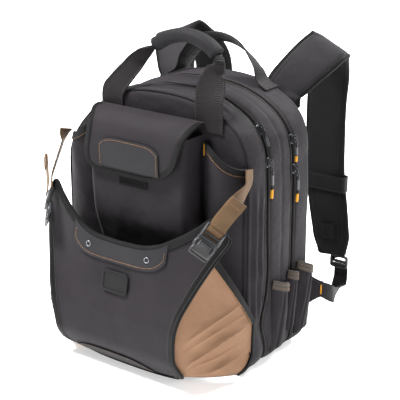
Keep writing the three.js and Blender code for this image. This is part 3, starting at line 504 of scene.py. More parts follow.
def clothFinish(name, look):
    # weave height from sines along the piece's own cloth coordinates in metres, colour from
    # slow noise between two tints, darkened in the weave's low places as painted shade, and creases from
    # noise on the object's coordinates
    n = Nodes(name)
    u, v = n.across()
    kind, pitch = look.get("weave", "plain"), look["pitch"]
    fu = n.math("MULTIPLY", u, 2 * math.pi / pitch)
    fv = n.math("MULTIPLY", v, 2 * math.pi / pitch)
    if kind == "plain":
        weave = n.math("MULTIPLY", n.math("SINE", fu), n.math("SINE", fv))
        height = n.math("MULTIPLY_ADD", weave, 0.5, 0.5)
    elif kind == "twill":
        height = n.math("MULTIPLY_ADD", n.math("SINE", n.math("ADD", fu, fv)), 0.5, 0.5)
    elif kind == "ribs":
        zigzag = n.math("PINGPONG", n.math("MULTIPLY", u, 1 / look["herring"]), 1.0)
        ribs = n.math("SINE", n.math("MULTIPLY_ADD", zigzag, 3.1, fv))
        ends = n.math("SINE", n.math("MULTIPLY", fu, 1.6))
        height = n.math("MULTIPLY_ADD", n.math("ADD", ribs, n.math("MULTIPLY", ends, 0.35)), 0.37, 0.5)
    elif kind == "mesh":
        half = n.math("MULTIPLY", fu, 0.5)
        first, second = n.math("SINE", n.math("ADD", half, fv)), n.math(
            "SINE", n.math("SUBTRACT", half, fv)
        )
        cells = n.math("MULTIPLY", first, second)
        height = n.math("POWER", n.math("ABSOLUTE", cells), 0.5)
    else:
        height = n.math("MULTIPLY_ADD", n.math("SINE", fu), 0.5, 0.5)
    cloud = n.noise(14.0, 4.0, 0.6)
    share = n.math("MULTIPLY_ADD", n.math("SUBTRACT", cloud, 0.5), look.get("contrast", 1.6), 0.5)
    clamped = n.add("ShaderNodeClamp")
    n.put(clamped.inputs[0], share)
    dim = look.get("dim", 0.75)
    body = n.blend(clamped.outputs[0], colour(look["shade"], dim), colour(look["tint"], dim))
    fleck = n.noise(900.0, 2.0, 0.7)
    # the weave's low places are darkened: painted shade between the threads, times random flecks
    gap, speckle = look.get("gap", 0.3), 0.35
    gapShadeAndFleck = n.math("MULTIPLY_ADD", height, gap, 1 - gap)
    gapShadeAndFleck = n.math("MULTIPLY", gapShadeAndFleck, n.math("MULTIPLY_ADD", fleck, speckle, 1 - speckle / 2))
    grey = n.add("ShaderNodeCombineColor")
    for k in range(3):
        n.put(grey.inputs[k], gapShadeAndFleck)
    n.put(n.shader.inputs["Base Color"], n.blend(1.0, body, grey.outputs[0], "MULTIPLY"))
    rough = n.math("MULTIPLY_ADD", n.noise(60.0, 3.0), 0.14, look["rough"] - 0.07)
    n.put(n.shader.inputs["Roughness"], rough)
    creases = n.bump(n.noise(look.get("creaseScale", 38.0), 4.0, 0.55), look.get("crease", 0.0012))
    n.put(n.shader.inputs["Normal"], n.bump(height, look.get("depth", 0.00014), 0.9, creases))
    n.shader.inputs["Sheen Weight"].default_value = look.get("sheen", 0.04)
    n.shader.inputs["Sheen Roughness"].default_value = 0.45
    n.shader.inputs["Specular IOR Level"].default_value = look.get("spec", 0.12)
    return n.material


# a finish's gap share darkens its weave's low places as painted shade
clothLooks = {
    "nylon": {"tint": "#2b272b", "shade": "#201d20", "pitch": 0.0009, "rough": 0.72, "sheen": 0.024},
    # the band nylon is darker than the pocket nylon: its own tone with painted shade of the body's side
    # faces
    "bandNylonShaded": {
        "tint": "#272328", "shade": "#1a171b", "pitch": 0.0009, "rough": 0.66, "sheen": 0.028,
        "crease": 0.0034, "creaseScale": 26.0,
    },
    "patchNylon": {
        "tint": "#2c2b2e", "shade": "#232225", "pitch": 0.0013, "rough": 0.6, "sheen": 0.012,
        "crease": 0.0004,
    },
    "binding": {
        "tint": "#0b0a0b", "shade": "#060606", "pitch": 0.0011, "weave": "twill", "rough": 0.62,
        "depth": 0.0002, "sheen": 0.02,
    },
    "webbing": {
        "tint": "#242021", "shade": "#121010", "pitch": 0.0034, "herring": 0.0042,
        "weave": "ribs", "rough": 0.6, "depth": 0.0005, "gap": 0.5, "sheen": 0.04,
    },
    "strapWeb": {
        "tint": "#151314", "shade": "#0e0d0e", "pitch": 0.0024, "herring": 0.0042,
        "weave": "ribs", "rough": 0.6, "depth": 0.0003, "gap": 0.4, "sheen": 0.02,
    },
    "tanWebbing": {
        "tint": "#86694b", "shade": "#4a3929", "dim": 1.0, "pitch": 0.0026, "herring": 0.0031,
        "weave": "ribs", "rough": 0.6, "depth": 0.0006, "gap": 0.8, "sheen": 0.04,
    },
    "tanCloth": {
        "tint": "#886951", "shade": "#6b503e", "dim": 1.0, "pitch": 0.0008, "rough": 0.7,
        "sheen": 0.03, "crease": 0.0016, "contrast": 1.1, "gap": 0.15,
    },
    "airMesh": {
        "tint": "#141416", "shade": "#0d0d0e", "pitch": 0.0034, "weave": "mesh", "rough": 0.85,
        "depth": 0.0009, "gap": 0.75, "sheen": 0.02,
    },
    "hem": {
        "tint": "#56504b", "shade": "#3c3835", "dim": 1.0, "pitch": 0.0019, "weave": "lines",
        "rough": 0.7, "depth": 0.0004, "gap": 0.45,
    },
    "lining": {"tint": "#141315", "shade": "#0e0d0f", "pitch": 0.0009, "rough": 0.8, "sheen": 0.01},
    "strapCloth": {
        "tint": "#2b292c", "shade": "#1f1d20", "pitch": 0.0010, "rough": 0.66, "sheen": 0.03,
        "crease": 0.0012,
    },
    "gripCloth": {
        "tint": "#1f1d20", "shade": "#151416", "pitch": 0.0010, "rough": 0.66, "sheen": 0.03,
        "crease": 0.0012,
    },
    "thread": {
        "tint": "#8f6d4c", "shade": "#74563a", "dim": 1.0, "pitch": 0.0011, "weave": "twill",
        "rough": 0.55, "depth": 0.0001, "crease": 0.0,
    },
    "darkThread": {
        "tint": "#2c2a2b", "shade": "#1f1d1e", "pitch": 0.0011, "weave": "twill", "rough": 0.5,
        "depth": 0.0001, "crease": 0.0,
    },
    "lightThread": {
        "tint": "#4d4948", "shade": "#3a3736", "pitch": 0.0011, "weave": "twill", "rough": 0.5,
        "depth": 0.0001, "crease": 0.0,
    },
    "yellowThread": {
        "tint": "#cf9222", "shade": "#b07a16", "dim": 1.0, "pitch": 0.0012, "weave": "twill",
        "rough": 0.5, "depth": 0.0002, "crease": 0.0,
    },
    "coil": {
        "tint": "#0c0b0d", "shade": "#060607", "pitch": 0.0012, "weave": "lines", "rough": 0.3,
        "depth": 0.0001, "crease": 0.0, "spec": 0.5,
    },
}
finishes = {name: clothFinish(name, look) for name, look in clothLooks.items()}


def hardFinish(name, look):
    # moulded or drawn surface: tint varied by slow noise, fine grain and scratches in the bump
    n = Nodes(name)
    cloud = n.noise(30.0, 3.0)
    n.put(n.shader.inputs["Base Color"], n.blend(cloud, colour(look["shade"]), colour(look["tint"])))
    wear = n.noise(140.0, 4.0, 0.7)
    n.put(n.shader.inputs["Roughness"], n.math("MULTIPLY_ADD", wear, 0.2, look["rough"]))
    grain = n.bump(n.noise(look.get("grain", 1400.0), 2.0), look.get("depth", 0.00006))
    n.put(n.shader.inputs["Normal"], grain)
    n.shader.inputs["Metallic"].default_value = look.get("metal", 0.0)
    n.shader.inputs["Specular IOR Level"].default_value = look.get("spec", 0.5)
    return n.material


hardLooks = {
    "buckle": {"tint": "#1b1d20", "shade": "#131416", "rough": 0.4, "spec": 0.28},
    "darkBuckle": {"tint": "#17181a", "shade": "#0f1011", "rough": 0.34, "spec": 0.5},
    "eyelet": {"tint": "#85888c", "shade": "#66696d", "rough": 0.3, "metal": 1.0, "depth": 0.00002},
    "slider": {"tint": "#3c3d40", "shade": "#26272a", "rough": 0.26, "metal": 0.9, "depth": 0.00003},
    "pullTube": {"tint": "#2e2f33", "shade": "#1e1f22", "rough": 0.3, "spec": 0.5},
    "badgeFace": {
        "tint": "#0d0d0f", "shade": "#08080a", "rough": 0.55, "spec": 0.2, "grain": 700.0,
        "depth": 0.0001,
    },
    "rubber": {"tint": "#1a1a1c", "shade": "#121214", "rough": 0.62, "grain": 900.0, "depth": 0.0001},
}
finishes.update({name: hardFinish(name, look) for name, look in hardLooks.items()})
print("finishes made:", len(finishes))

# Camera, light and floor

cameraData = bpy.data.cameras.new("photoCamera")
cameraData.lens, cameraData.sensor_width = 106.34, 36.0
camera = bpy.data.objects.new("photoCamera", cameraData)
bpy.context.scene.collection.objects.link(camera)
camera.location = (1.0270, -1.4028, 0.8581)
aim = Vector((0.00684, 0.00596, 0.21954)) - camera.location
camera.rotation_euler = aim.to_track_quat("-Z", "Y").to_euler()
bpy.context.scene.camera = camera

# Body: an arch-topped outline carried back through the door, the middle band and the rear tub

bodySize = {
    "half": 169.0, "foot": 6.0, "top": 420.0, "shoulder": 270.0, "power": 2.35, "lean": 20.0,
    "corner": 26.0, "door": 46.0, "zip": 8.0, "middle": 54.0, "rear": 52.0, "pad": 13.0,
    "drift": 8.0, "round": 11.0, "puff": 2.6,
}
middleStart = bodySize["door"] + bodySize["zip"]
middleEnd = middleStart + bodySize["middle"]
rearStart = middleEnd + bodySize["zip"]
rearEnd = rearStart + bodySize["rear"]
backFace = rearEnd + seamGap + bodySize["pad"]


def leanAt(z):
    # the soft top leans to one side: nought up to 290 mm, eased to the whole lean at 395 mm
    return bodySize["lean"] * smooth(z, 290, 395)


def driftShare(z):
    # nought within 20 mm of the top, eased to 1 at 110 mm below it
    return smooth(bodySize["top"] - z, 20, 110)


def swayAt(x, z):
    # low on the right side the front seam waves forward and back again
    return (
        -13 * np.exp(-(((z - 78) / 30) ** 2)) + 4 * np.exp(-(((z - 165) / 40) ** 2))
    ) * smooth(x, 120, 165)


def outline(inset, arch=120, side=30, corner=8, base=26):
    # flat foot, quarter circles, straight sides and a superellipse arch that leans to one side
    s = bodySize
    half, low, top = s["half"] - inset, s["foot"] + inset, s["top"] - inset
    r = max(s["corner"] - inset, 2)
    a = np.linspace(0, np.pi / 2, corner, endpoint=False)
    up = low + r + np.linspace(0, 1, side, endpoint=False) * (s["shoulder"] - low - r)
    right = np.concatenate([
        np.stack([half - r + r * np.sin(a), low + r - r * np.cos(a)], 1),
        np.stack([np.full(side, half), up], 1),
    ])
    t = np.linspace(0, np.pi, arch)
    cos, sin = np.cos(t), np.clip(np.sin(t), 0, 1)
    x = half * np.sign(cos) * np.abs(cos) ** (2 / s["power"])
    z = s["shoulder"] + (top - s["shoulder"]) * sin ** (2 / s["power"])
    bottom = np.linspace(-(half - r), half - r, base + 2)[1:-1]
    return np.concatenate([
        right,
        np.stack([x + leanAt(z), z], 1),
        right[::-1] * [-1, 1],
        np.stack([bottom, np.full(base, low)], 1),
    ])


def bodyLoop(y, inset, drift=0.0, sway=0.0):
    # the outline at depth y, which drift and sway add to by their share at each height
    x, z = outline(inset).T
    return np.stack([x, y + drift * driftShare(z) + sway * swayAt(x, z), z], 1)


def wrinkled(grid, normals, amount, size, seed, hold):
    # moved along the normals by folds of noise; `hold` is 0 where nothing moves
    return grid + normals * (amount * folds(grid, size, seed) * hold)[..., None]


bodyCentre = np.array([5.0, 90.0, 210.0])


def makeDoor():
    # rows over the flat front, round its edge and back along the puffed side, which gets
    # lengthways folds, upright waves low down and two pleats over the top
    r, faceRows = bodySize["round"], 26
    middle = np.array([bodySize["lean"] / 4, 0, 213.0])
    rim = bodyLoop(0, r)
    rows = [mix(np.broadcast_to(middle, rim.shape), rim, k) for k in np.linspace(0, 1, faceRows)]
    for a in np.linspace(0, np.pi / 2, 7)[1:]:
        rows.append(bodyLoop(r * (1 - math.cos(a)), r * (1 - math.sin(a)) - 0.4 * math.sin(a)))
    for v in np.linspace(0, 1, 17)[1:]:
        bulge = bodySize["puff"] * math.sin(math.pi * v) ** 0.8
        rows.append(bodyLoop(mix(r, bodySize["door"], v), -0.4 - bulge + 4.2 * smooth(v, 0.88, 1), sway=v))
    grid = np.stack(rows)
    normals = outwards(grid, out=(0, -1, 0), closed=True)
    face = np.arange(len(rows))[:, None] < faceRows
    v = np.clip((np.arange(len(rows)) - faceRows) / 22.0, 0, 1)[:, None]
    lengthways = grid * [1.0, 0.35, 1.0]
    grid = grid - normals * np.where(face, 0.5 * np.abs(folds(grid, 60, 3)), 0)[..., None]
    y, z = grid[..., 1], grid[..., 2]
    amount = np.sin(np.pi * v) ** 0.6 * (
        1.7 * folds(lengthways, 40, 5) + 0.7 * softNoise(lengthways, 15, 8)
    )
    pleats = np.exp(-(((v - 0.36) / 0.08) ** 2)) + 0.9 * np.exp(-(((v - 0.72) / 0.07) ** 2))
    hang = smooth(z, 60, 120) * (1 - smooth(z, 250, 310))
    upright = np.sin(y * 0.42 + 0.9 * softNoise(grid, 55, 12)) * np.sin(np.pi * v) ** 0.8
    amount = np.where(face, 0, amount + 2.3 * hang * upright - 2.2 * smooth(z, 392, 412) * pleats)
    grid = grid + normals * amount[..., None]
    addPiece("doorPanel", ringShell(grid, 1.8, out=(0, -1, 0)), "bandNylonShaded", "front_door")
    piping = tube(bodyLoop(r * 0.32, r * 0.3 - 1.0), 1.5, closed=True)
    addPiece("doorPiping", piping, "binding")
    line = bodyLoop(r * 0.55, r * 0.12 - 0.9)
    addPiece("doorEdgeStitch", stitchRow(line, unit(line - bodyCentre), True), "lightThread")


def makeMiddle():
    # rows from zip to zip, puffed between them with one crease along the middle
    share = np.linspace(0, 1, 21)
    rows = []
    for v in share:
        bulge = bodySize["puff"] * (1 - (2 * v - 1) ** 2) ** 0.7
        crease = 1.5 * math.exp(-(((v - 0.52) / 0.05) ** 2))
        edge = 3.4 * abs(2 * v - 1) ** 10
        rows.append(
            bodyLoop(mix(middleStart, middleEnd, v), edge - bulge + crease, bodySize["drift"] * v, 1 - v)
        )
    grid = np.stack(rows)
    lengthways = grid * [1.0, 0.4, 1.0]
    amount = 1.5 * folds(lengthways, 44, 31) + 0.6 * softNoise(lengthways, 15, 35)
    amount = amount * (np.sin(np.pi * share) ** 0.5)[:, None]
    grid = grid + outwards(grid, centre=bodyCentre, closed=True) * amount[..., None]
    addPiece("middleBand", ringShell(grid, 1.8, centre=bodyCentre), "bandNylonShaded", "middle_band")


def makeRear():
    # rows from the rear zip to the back, round its edge and in over the flat back, with
    # lengthways folds on the side
    rows = []
    for v in np.linspace(0, 1, 17):
        y = mix(rearStart, rearEnd - 10, v)
        bulge = bodySize["puff"] * math.sin(math.pi * min(v * 0.55 + 0.05, 1)) ** 0.7
        edge = 3.4 * (1 - smooth(v, 0, 0.12))
        rows.append(bodyLoop(y, edge - bulge * 0.8, bodySize["drift"] * (1 - v)))
    for a in np.linspace(0, np.pi / 2, 7)[1:]:
        rows.append(bodyLoop(rearEnd - 10 + 10 * math.sin(a), 10 * (1 - math.cos(a)) - 1.5 * math.cos(a)))
    inner = bodyLoop(rearEnd, 10)
    middle = np.array([bodySize["lean"] / 4, rearEnd, 213.0])
    for k in np.linspace(1, 0, 8)[1:]:
        rows.append(mix(np.broadcast_to(middle, inner.shape), inner, k))
    grid = np.stack(rows)
    normals = outwards(grid[:20], centre=bodyCentre, closed=True)
    v = np.linspace(0, 1, 20)[:, None]
    amount = np.sin(np.pi * v) ** 0.5 * 1.5 * folds(grid[:20] * [1, 0.4, 1], 42, 47)
    grid[:20] += normals * amount[..., None]
    addPiece("rearTub", ringShell(grid, 1.8, centre=bodyCentre), "bandNylonShaded", "rear_tub")


zipSize = {"tape": 1.0, "tooth": 2.3, "radius": 0.75, "pitch": 2.1, "cord": 1.7, "line": 0.55}


def makeZip(name, node, start, drift, sway):
    # a sunken tape, two rows of leaning spindles as its coil, and at each wall a cord and a line
    z = zipSize
    rows = []
    for share in np.linspace(0, 1, 9):
        inset = 4.4 - 1.2 * math.sin(math.pi * share)
        rows.append(bodyLoop(start + 0.3 + share * (bodySize["zip"] - 0.6), inset, drift, sway))
    addPiece(
        name + "Tape", ringShell(np.stack(rows), z["tape"], centre=bodyCentre), "binding", node
    )
    parts = []
    for side in (-1, 1):
        path = bodyLoop(start + bodySize["zip"] / 2 + side * 1.1, 2.9, drift, sway)
        at = evenly(path, z["pitch"], True)
        centre = pick(path, at, True)
        out = unit((centre - [5.0, 0, 230.0]) * [1, 0, 1])
        along = pick(tangents(path, True), at, True)
        lean = unit(np.cross(out, along) + along * 0.35 * side)
        parts.append(spindles(centre, lean, np.cross(lean, out), out, z["tooth"], z["radius"]))
    addPiece(name + "Coil", parts, "coil")
    cords, lines = [], []
    for edge, inwards in ((start, 1), (start + bodySize["zip"], -1)):
        cords.append(tube(bodyLoop(edge + 0.4 * inwards, 1.9, drift, sway), z["cord"], closed=True))
        lines.append(
            tube(bodyLoop(edge - 1.5 * inwards, 0.1, drift, sway), z["line"], closed=True, count=6)
        )
    addPiece(name + "Cords", cords, "binding")
    addPiece(name + "EdgeLines", lines, "lightThread")


padSize = {"voxel": 0.005, "pressure": 4.0, "cap": 7.0, "channel": 6.0}


def swollen(piece, voxel, pressure, cap):
    # the piece remeshed in even cells, then blown up as cloth for 20 frames, with each point's
    # move held to `cap` millimetres
    remesh = piece.modifiers.new("even", "REMESH")
    remesh.mode, remesh.voxel_size = "VOXEL", voxel
    graph = bpy.context.evaluated_depsgraph_get()
    mesh = bpy.data.meshes.new_from_object(piece.evaluated_get(graph))
    piece.modifiers.clear()
    piece.data = mesh
    start = np.empty(len(mesh.vertices) * 3)
    mesh.vertices.foreach_get("co", start)
    start = start.reshape(-1, 3)
    cloth = piece.modifiers.new("air", "CLOTH")
    cloth.settings.use_pressure = True
    cloth.settings.uniform_pressure_force = pressure
    cloth.settings.effector_weights.gravity = 0
    scene = bpy.context.scene
    for step in range(1, 21):
        scene.frame_set(step)
    graph = bpy.context.evaluated_depsgraph_get()
    blown = piece.evaluated_get(graph).to_mesh()
    end = np.empty(len(mesh.vertices) * 3)
    blown.vertices.foreach_get("co", end)
    piece.modifiers.clear()
    scene.frame_set(1)
    move = end.reshape(-1, 3) - start
    size = np.linalg.norm(move, axis=1, keepdims=True)
    return start + move * np.minimum(1, cap * mm / np.maximum(size, 1e-9))


def makeBackPad():
    # a flat pad rounded at its rim, swollen, then drawn in along a spine and two cross channels
    rimSteps = ((0, 18), (2, 14), (4, 13), (6, 13.5), (7.5, 16))
    grid = [bodyLoop(rearEnd + seamGap + depth, inset) for depth, inset in rimSteps]
    rim = bodyLoop(rearEnd + 8.35, 20)
    middle = np.array([bodySize["lean"] / 4, rearEnd + 8.35, 213.0])
    grid += [mix(np.broadcast_to(middle, rim.shape), rim, k) for k in np.linspace(1, 0, 16)]
    front = middle - [0, 8.0, 0]
    grid = [mix(np.broadcast_to(front, rim.shape), grid[0], k) for k in np.linspace(0, 1, 8)[:-1]] + grid
    grid = np.stack(grid)
    quads, corners = gridQuads(grid.shape[0], grid.shape[1], True)
    pad = addPiece(
        "backPad", faceOut(grid.reshape(-1, 3), quads, corners * 0.001), "airMesh", "back_pad"
    )
    points = swollen(pad, padSize["voxel"], padSize["pressure"], padSize["cap"])
    place = points / mm
    place[:, 1] -= frontY / mm
    x, y, z = place.T
    spine = np.exp(-(((x - 2) / 11) ** 2)) * smooth(z, 34, 60) * (1 - smooth(z, 370, 390))
    cross = np.exp(-(((z - 128) / 8) ** 2)) + np.exp(-(((z - 300) / 8) ** 2))
    depth = padSize["channel"] * np.minimum(spine + cross, 1) * smooth(y, rearEnd + 3, rearEnd + 8)
    y = np.clip(y, rearEnd + seamGap, backFace + 4.5) - depth
    points = np.stack([x * mm, y * mm + frontY, z * mm], 1)
    mesh = pad.data
    mesh.vertices.foreach_set("co", points.ravel())
    index = np.empty(len(mesh.loops), int)
    mesh.loops.foreach_get("vertex_index", index)
    for old in list(mesh.uv_layers):
        mesh.uv_layers.remove(old)
    mesh.uv_layers.new(name="cloth").data.foreach_set(
        "uv", points[index][:, [0, 2]].astype(np.float32).ravel()
    )
    mesh.polygons.foreach_set("use_smooth", np.ones(len(mesh.polygons), bool))
    mesh.update()
    finer = pad.modifiers.new("finer", "SUBSURF")
    finer.levels = finer.render_levels = 1
    addPiece("backPadBinding", tube(bodyLoop(rearEnd + 2.4, 13.0), 2.2, closed=True), "binding")
    print("back pad points:", len(points))


makeDoor()
makeMiddle()
makeRear()
makeZip("frontZip", "front_zip", bodySize["door"], 0.0, 1.0)
makeZip("rearZip", "rear_zip", middleEnd, bodySize["drift"], 0.0)
makeBackPad()
print("body made")

# Front pocket: panel, rim, patches, eyelets, badge and tan gussets

panelSize = {"half": 168.0, "top": 267.0, "reach": 107.0, "foot": 7.0, "binding": 13.5}
panelRows = np.array([
    # height, width, edge, middle
    [0.026, 0.53, 0.56, 0.63], [0.055, 0.61, 0.68, 0.72], [0.11, 0.67, 0.83, 0.84],
    [0.22, 0.655, 0.97, 0.96], [0.37, 0.675, 1.0, 0.965], [0.45, 0.7, 0.97, 0.92],
    [0.6, 0.785, 0.82, 0.85], [0.75, 0.89, 0.635, 0.805], [0.82, 0.94, 0.52, 0.77],
    [0.9, 1.0, 0.44, 0.72], [1.0, 0.99, 0.42, 0.68],
]).T
rimTable = np.array(
    [[0, 0.787], [0.25, 0.793], [0.45, 0.822], [0.6, 0.88], [0.75, 0.945], [0.88, 1], [1, 0.905]]
).T


def panelWidth(height):
    # half the panel's width, read from the table by height
    return panelSize["half"] * eased(panelRows[0], panelRows[1], height / panelSize["top"])


def panelPoint(across, height):
    # half width, middle and edge reach by height; the reach goes from middle to edge with the
    # cube of the distance across
    share = height / panelSize["top"]
    middle = eased(panelRows[0], panelRows[3], share)
    reach = mix(middle, eased(panelRows[0], panelRows[2], share), np.abs(across) ** 3)
    place = across * panelWidth(height), -panelSize["reach"] * reach, height + 0 * across
    return np.stack(np.broadcast_arrays(*place), -1)


def rimAt(across):
    # the height of the panel's upper edge, read from the table by the distance across
    return panelSize["top"] * eased(rimTable[0], rimTable[1], np.abs(across))


def onPanel(x, z, lift=0.0):
    # a point of the panel at x and z, moved out along its normal
    p = panelPoint(x / panelWidth(z), z)
    du = panelPoint((x + 1) / panelWidth(z), z) - p
    dv = panelPoint(x / panelWidth(z + 1), z + 1) - p
    n = unit(np.cross(du, dv))
    n = np.where(n[..., 1:2] > 0, -n, n)
    return p + n * lift, n


def makePanel():
    # the cloth sags by soft noise, held at its edges and kept flat under the patches and badge;
    # its rim is bound and sewn, and its sides bound, piped and lined
    u, v = np.meshgrid(np.linspace(-1, 1, 111), np.linspace(0, 1, 84))
    grid = panelPoint(u, mix(panelSize["foot"], rimAt(u), v))
    x, z = grid[..., 0], grid[..., 2]
    hold = np.sin(
        np.pi * np.clip((u + 1) / 2, 0, 1)
    ) ** 0.4 * np.clip((1 - v) * 8, 0, 1) * np.clip(v * 8, 0, 1)
    place = np.stack([x, 0 * x, z], -1)
    shift = hold * (0.9 * folds(place, 90, 61) + 0.35 * softNoise(place, 30, 66))
    covered = ((np.abs(x) < 92) & (z > 172)) | ((np.abs(x + 18) < 80) & (z < 36)) | (np.abs(x) < 30)
    shift = np.where(covered, np.minimum(shift, 0.3), shift)
    grid = grid + outwards(grid, out=-yAxis) * shift[..., None]
    addSheet("pocketPanel", grid, 2.0, -yAxis, "nylon", "front_pocket_panel", "stretched")

    a = np.linspace(-1, 1, 140)
    top = panelPoint(a, rimAt(a))
    down, out = edgeFrame(top, panelPoint(a * 0.995, rimAt(a) - 4), -yAxis)
    mid, w = top - out, panelSize["binding"]
    rim = sweep(mid, down, out, roundProfile(w, 5.0, 5, 26, (w / 2 - 2.5, 0)))
    addPiece("pocketRimBinding", rim, "binding")
    line = mid + down * (w - 4.6) + out * 2.45
    addPiece("pocketRimStitch", stitchRow(line, out), "darkThread")

    parts, lights, piping = [], [], []
    z = np.linspace(panelSize["foot"], rimAt(1.0) + 1, 90)
    for sign in (-1.0, 1.0):
        edge = panelPoint(np.full(90, sign), z)
        into, out = edgeFrame(edge, panelPoint(np.full(90, 0.93 * sign), z), -yAxis)
        parts.append(sweep(edge - out, into, out, roundProfile(8.6, 4.4, 4, 22, (2.6, 0.0))))
        piping.append(tube(edge - into * 2.2 - out * 1.5, 2.3))
        lights.append(tube(edge + into * 7.2 + out * 0.5, 0.45, count=6))
        lights.append(tube(edge - into * 0.6 + out * 1.15, 0.4, count=6))
    foot = panelPoint(np.linspace(-1, 1, 90), np.full(90, panelSize["foot"]))
    parts.append(tape(foot + yAxis, zAxis, 8, 4.4, count=18))
    addPiece("pocketSideBinding", parts, "binding")
    addPiece("pocketPiping", piping, "binding")
    addPiece("pocketEdgeLines", lights, "lightThread")


def makePatches():
    # a patch under the rim whose foot curves up at its ends, and a bowed one low down, both sewn
    u, v = np.meshgrid(np.linspace(-1, 1, 71), np.linspace(0, 1, 20))
    high = rimAt(86 * u / panelWidth(215.0)) - 4
    p, n = onPanel(86 * u, mix(178 + 20 * np.abs(u) ** 6, high, v), 2.1)
    addPiece("rimPatch", clothShell(p, 1.2, n), "patchNylon", "pocket_patch")
    a = np.linspace(-1, 1, 160)
    low = 182 + 19 * np.abs(a) ** 6
    side = np.linspace(0, 1, 16)[1:]
    xs = np.concatenate([np.full(15, -82.0), 82 * a, np.full(15, 82.0)])
    zs = np.concatenate([mix(low[0], 214.0, side)[::-1], low, mix(low[-1], 212.0, side)])
    rows = [stitchRow(*onPanel(xs, zs, 2.2))]
    u, v = np.meshgrid(np.linspace(-1, 1, 61), np.linspace(0, 1, 12))
    p, n = onPanel(74 * u - 18, mix(12, 33 - 14 * u**4, v), 1.9)
    addPiece("footPatch", clothShell(p, 1.1, n), "patchNylon", "bottom_patch")
    a = np.linspace(-1, 1, 120)
    rows.append(stitchRow(*onPanel(72 * a - 18, 30.5 - 14 * a**4, 2.0)))
    addPiece("panelStitching", rows, "thread")


def turned(at, axis, profile, count=28):
    # a profile of (radius, level) turned round an axis
    axis = unit(np.asarray(axis, float))
    a = unit(np.cross(axis, [0.3, 0.1, 0.9]))
    b = np.cross(axis, a)
    t = np.arange(count) / count * 2 * np.pi
    ring = np.cos(t)[:, None] * a + np.sin(t)[:, None] * b
    profile = np.asarray(profile, float)
    grid = at + profile[:, None, :1] * ring[None] + profile[:, None, 1:] * axis
    quads, _ = gridQuads(len(profile), count, True, True)
    return faceOut(grid.reshape(-1, 3), quads, np.zeros((len(quads), 4, 2)))


eyeletSize = {"spacing": 109.0, "height": 196.0, "radius": 4.7, "bore": 3.1}


def makeEyelets():
    # a lip that is half a round, with a short barrel, and a dark dished disc behind its bore, painted shade
    # in the bore
    e = eyeletSize
    half, mean = (e["radius"] - e["bore"]) / 2, (e["radius"] + e["bore"]) / 2
    lip = [(mean + half * math.cos(k), 1.3 * math.sin(k)) for k in np.linspace(0, np.pi, 9)]
    barrel = [(e["bore"] - 0.1, -1.2), (e["bore"] + 0.5, -1.2), (e["radius"] - 0.3, -0.3)]
    # the disc behind the bore is painted shade: dark cloth where the bore shows only shade
    boreShade = [(e["bore"] + 0.1, -0.5), (0.01, -0.9), (0.01, -1.3), (e["bore"] + 0.1, -1.3)]
    for name, sign in sides:
        at, n = onPanel(np.array(sign * e["spacing"] / 2), np.array(e["height"]), 2.2)
        addPiece(
            "eyelet" + name.title(), turned(at, n, lip + barrel), "eyelet", "eyelet_" + name
        )
        addPiece("eyeletShade" + name.title(), turned(at, n, boreShade), "lining")


def makeBadge():
    # a dished plate square to the panel at its middle, sewn round just inside its rim
    foot, at, head = [onPanel(np.array(0.0), np.array(z))[0] for z in (140.0, 150.0, 160.0)]
    up = unit(head - foot)
    out = np.cross(xAxis, up)
    out = out if out[1] < 0 else -out
    badge = plate(at + out * 1.1, xAxis, up, out, bevelRings(2.6, 1.0, 15.9, 0.7, 2.4), 48, 32, 7)
    addPiece("badgePlate", badge, "badgeFace", "badge", sharp=40)
    w, h = 20.6, 12.6
    loop = cornerPath([(-w, -h), (w, -h), (w, h), (-w, h), (-w, -h)], 4)
    path = at + out * 3.75 + loop[:, :1] * xAxis + loop[:, 1:] * up
    fine = {"length": 1.9, "pitch": 2.6, "radius": 0.3}
    addPiece("badgeStitch", stitchRow(path, out, True, fine), "darkThread")


def bodySideAt(z):
    # the outline's half width: whole above the corner, on its quarter circle below
    half, corner = bodySize["half"], bodySize["corner"]
    drop = bodySize["foot"] + corner - z
    return np.where(drop <= 0, half, half - corner + np.sqrt(np.maximum(corner**2 - drop**2, 0)))


gussetSize = {"top": 212.0, "rear": 96.0, "bulge": 24.0}


def gussetPoint(u, v, sign):
    # from the panel's side edge to the body's side, bulged outwards between them
    high = mix(panelSize["foot"] + 1, gussetSize["top"], v)
    start = panelPoint(np.ones_like(high), high) + [-2.5, 4.1, 0]
    low = mix(panelSize["foot"] + 3, gussetSize["rear"], v**0.8)
    wrap = mix(-12.0, 15.0, np.minimum(low / 40, 1))
    end = np.stack([bodySideAt(low) + 2.85, wrap, low], -1)
    bulge = gussetSize["bulge"] * np.sin(np.pi * u) * np.sin(np.pi * (0.12 + 0.75 * v))
    p = mix(start, end, u[..., None]) + np.stack([0.8 * bulge, -0.35 * bulge, 0 * bulge], -1)
    return p * [sign, 1, 1]


gussetCreases = [
    # where it starts, slope, height in millimetres, width
    (0.05, 0.06, 5.0, 0.026), (0.08, 0.36, 9.0, 0.03), (0.15, 0.5, 3.0, 0.022),
    (0.2, 0.85, 8.5, 0.036), (0.33, 0.9, 2.6, 0.03), (0.42, 1.1, 4.2, 0.05),
]


def ridge(d, width):
    # a crease: steep on one side, long on the other
    t = d / width
    return np.where(t > 0, np.exp(-t * 1.2), np.exp(t * 3.2))


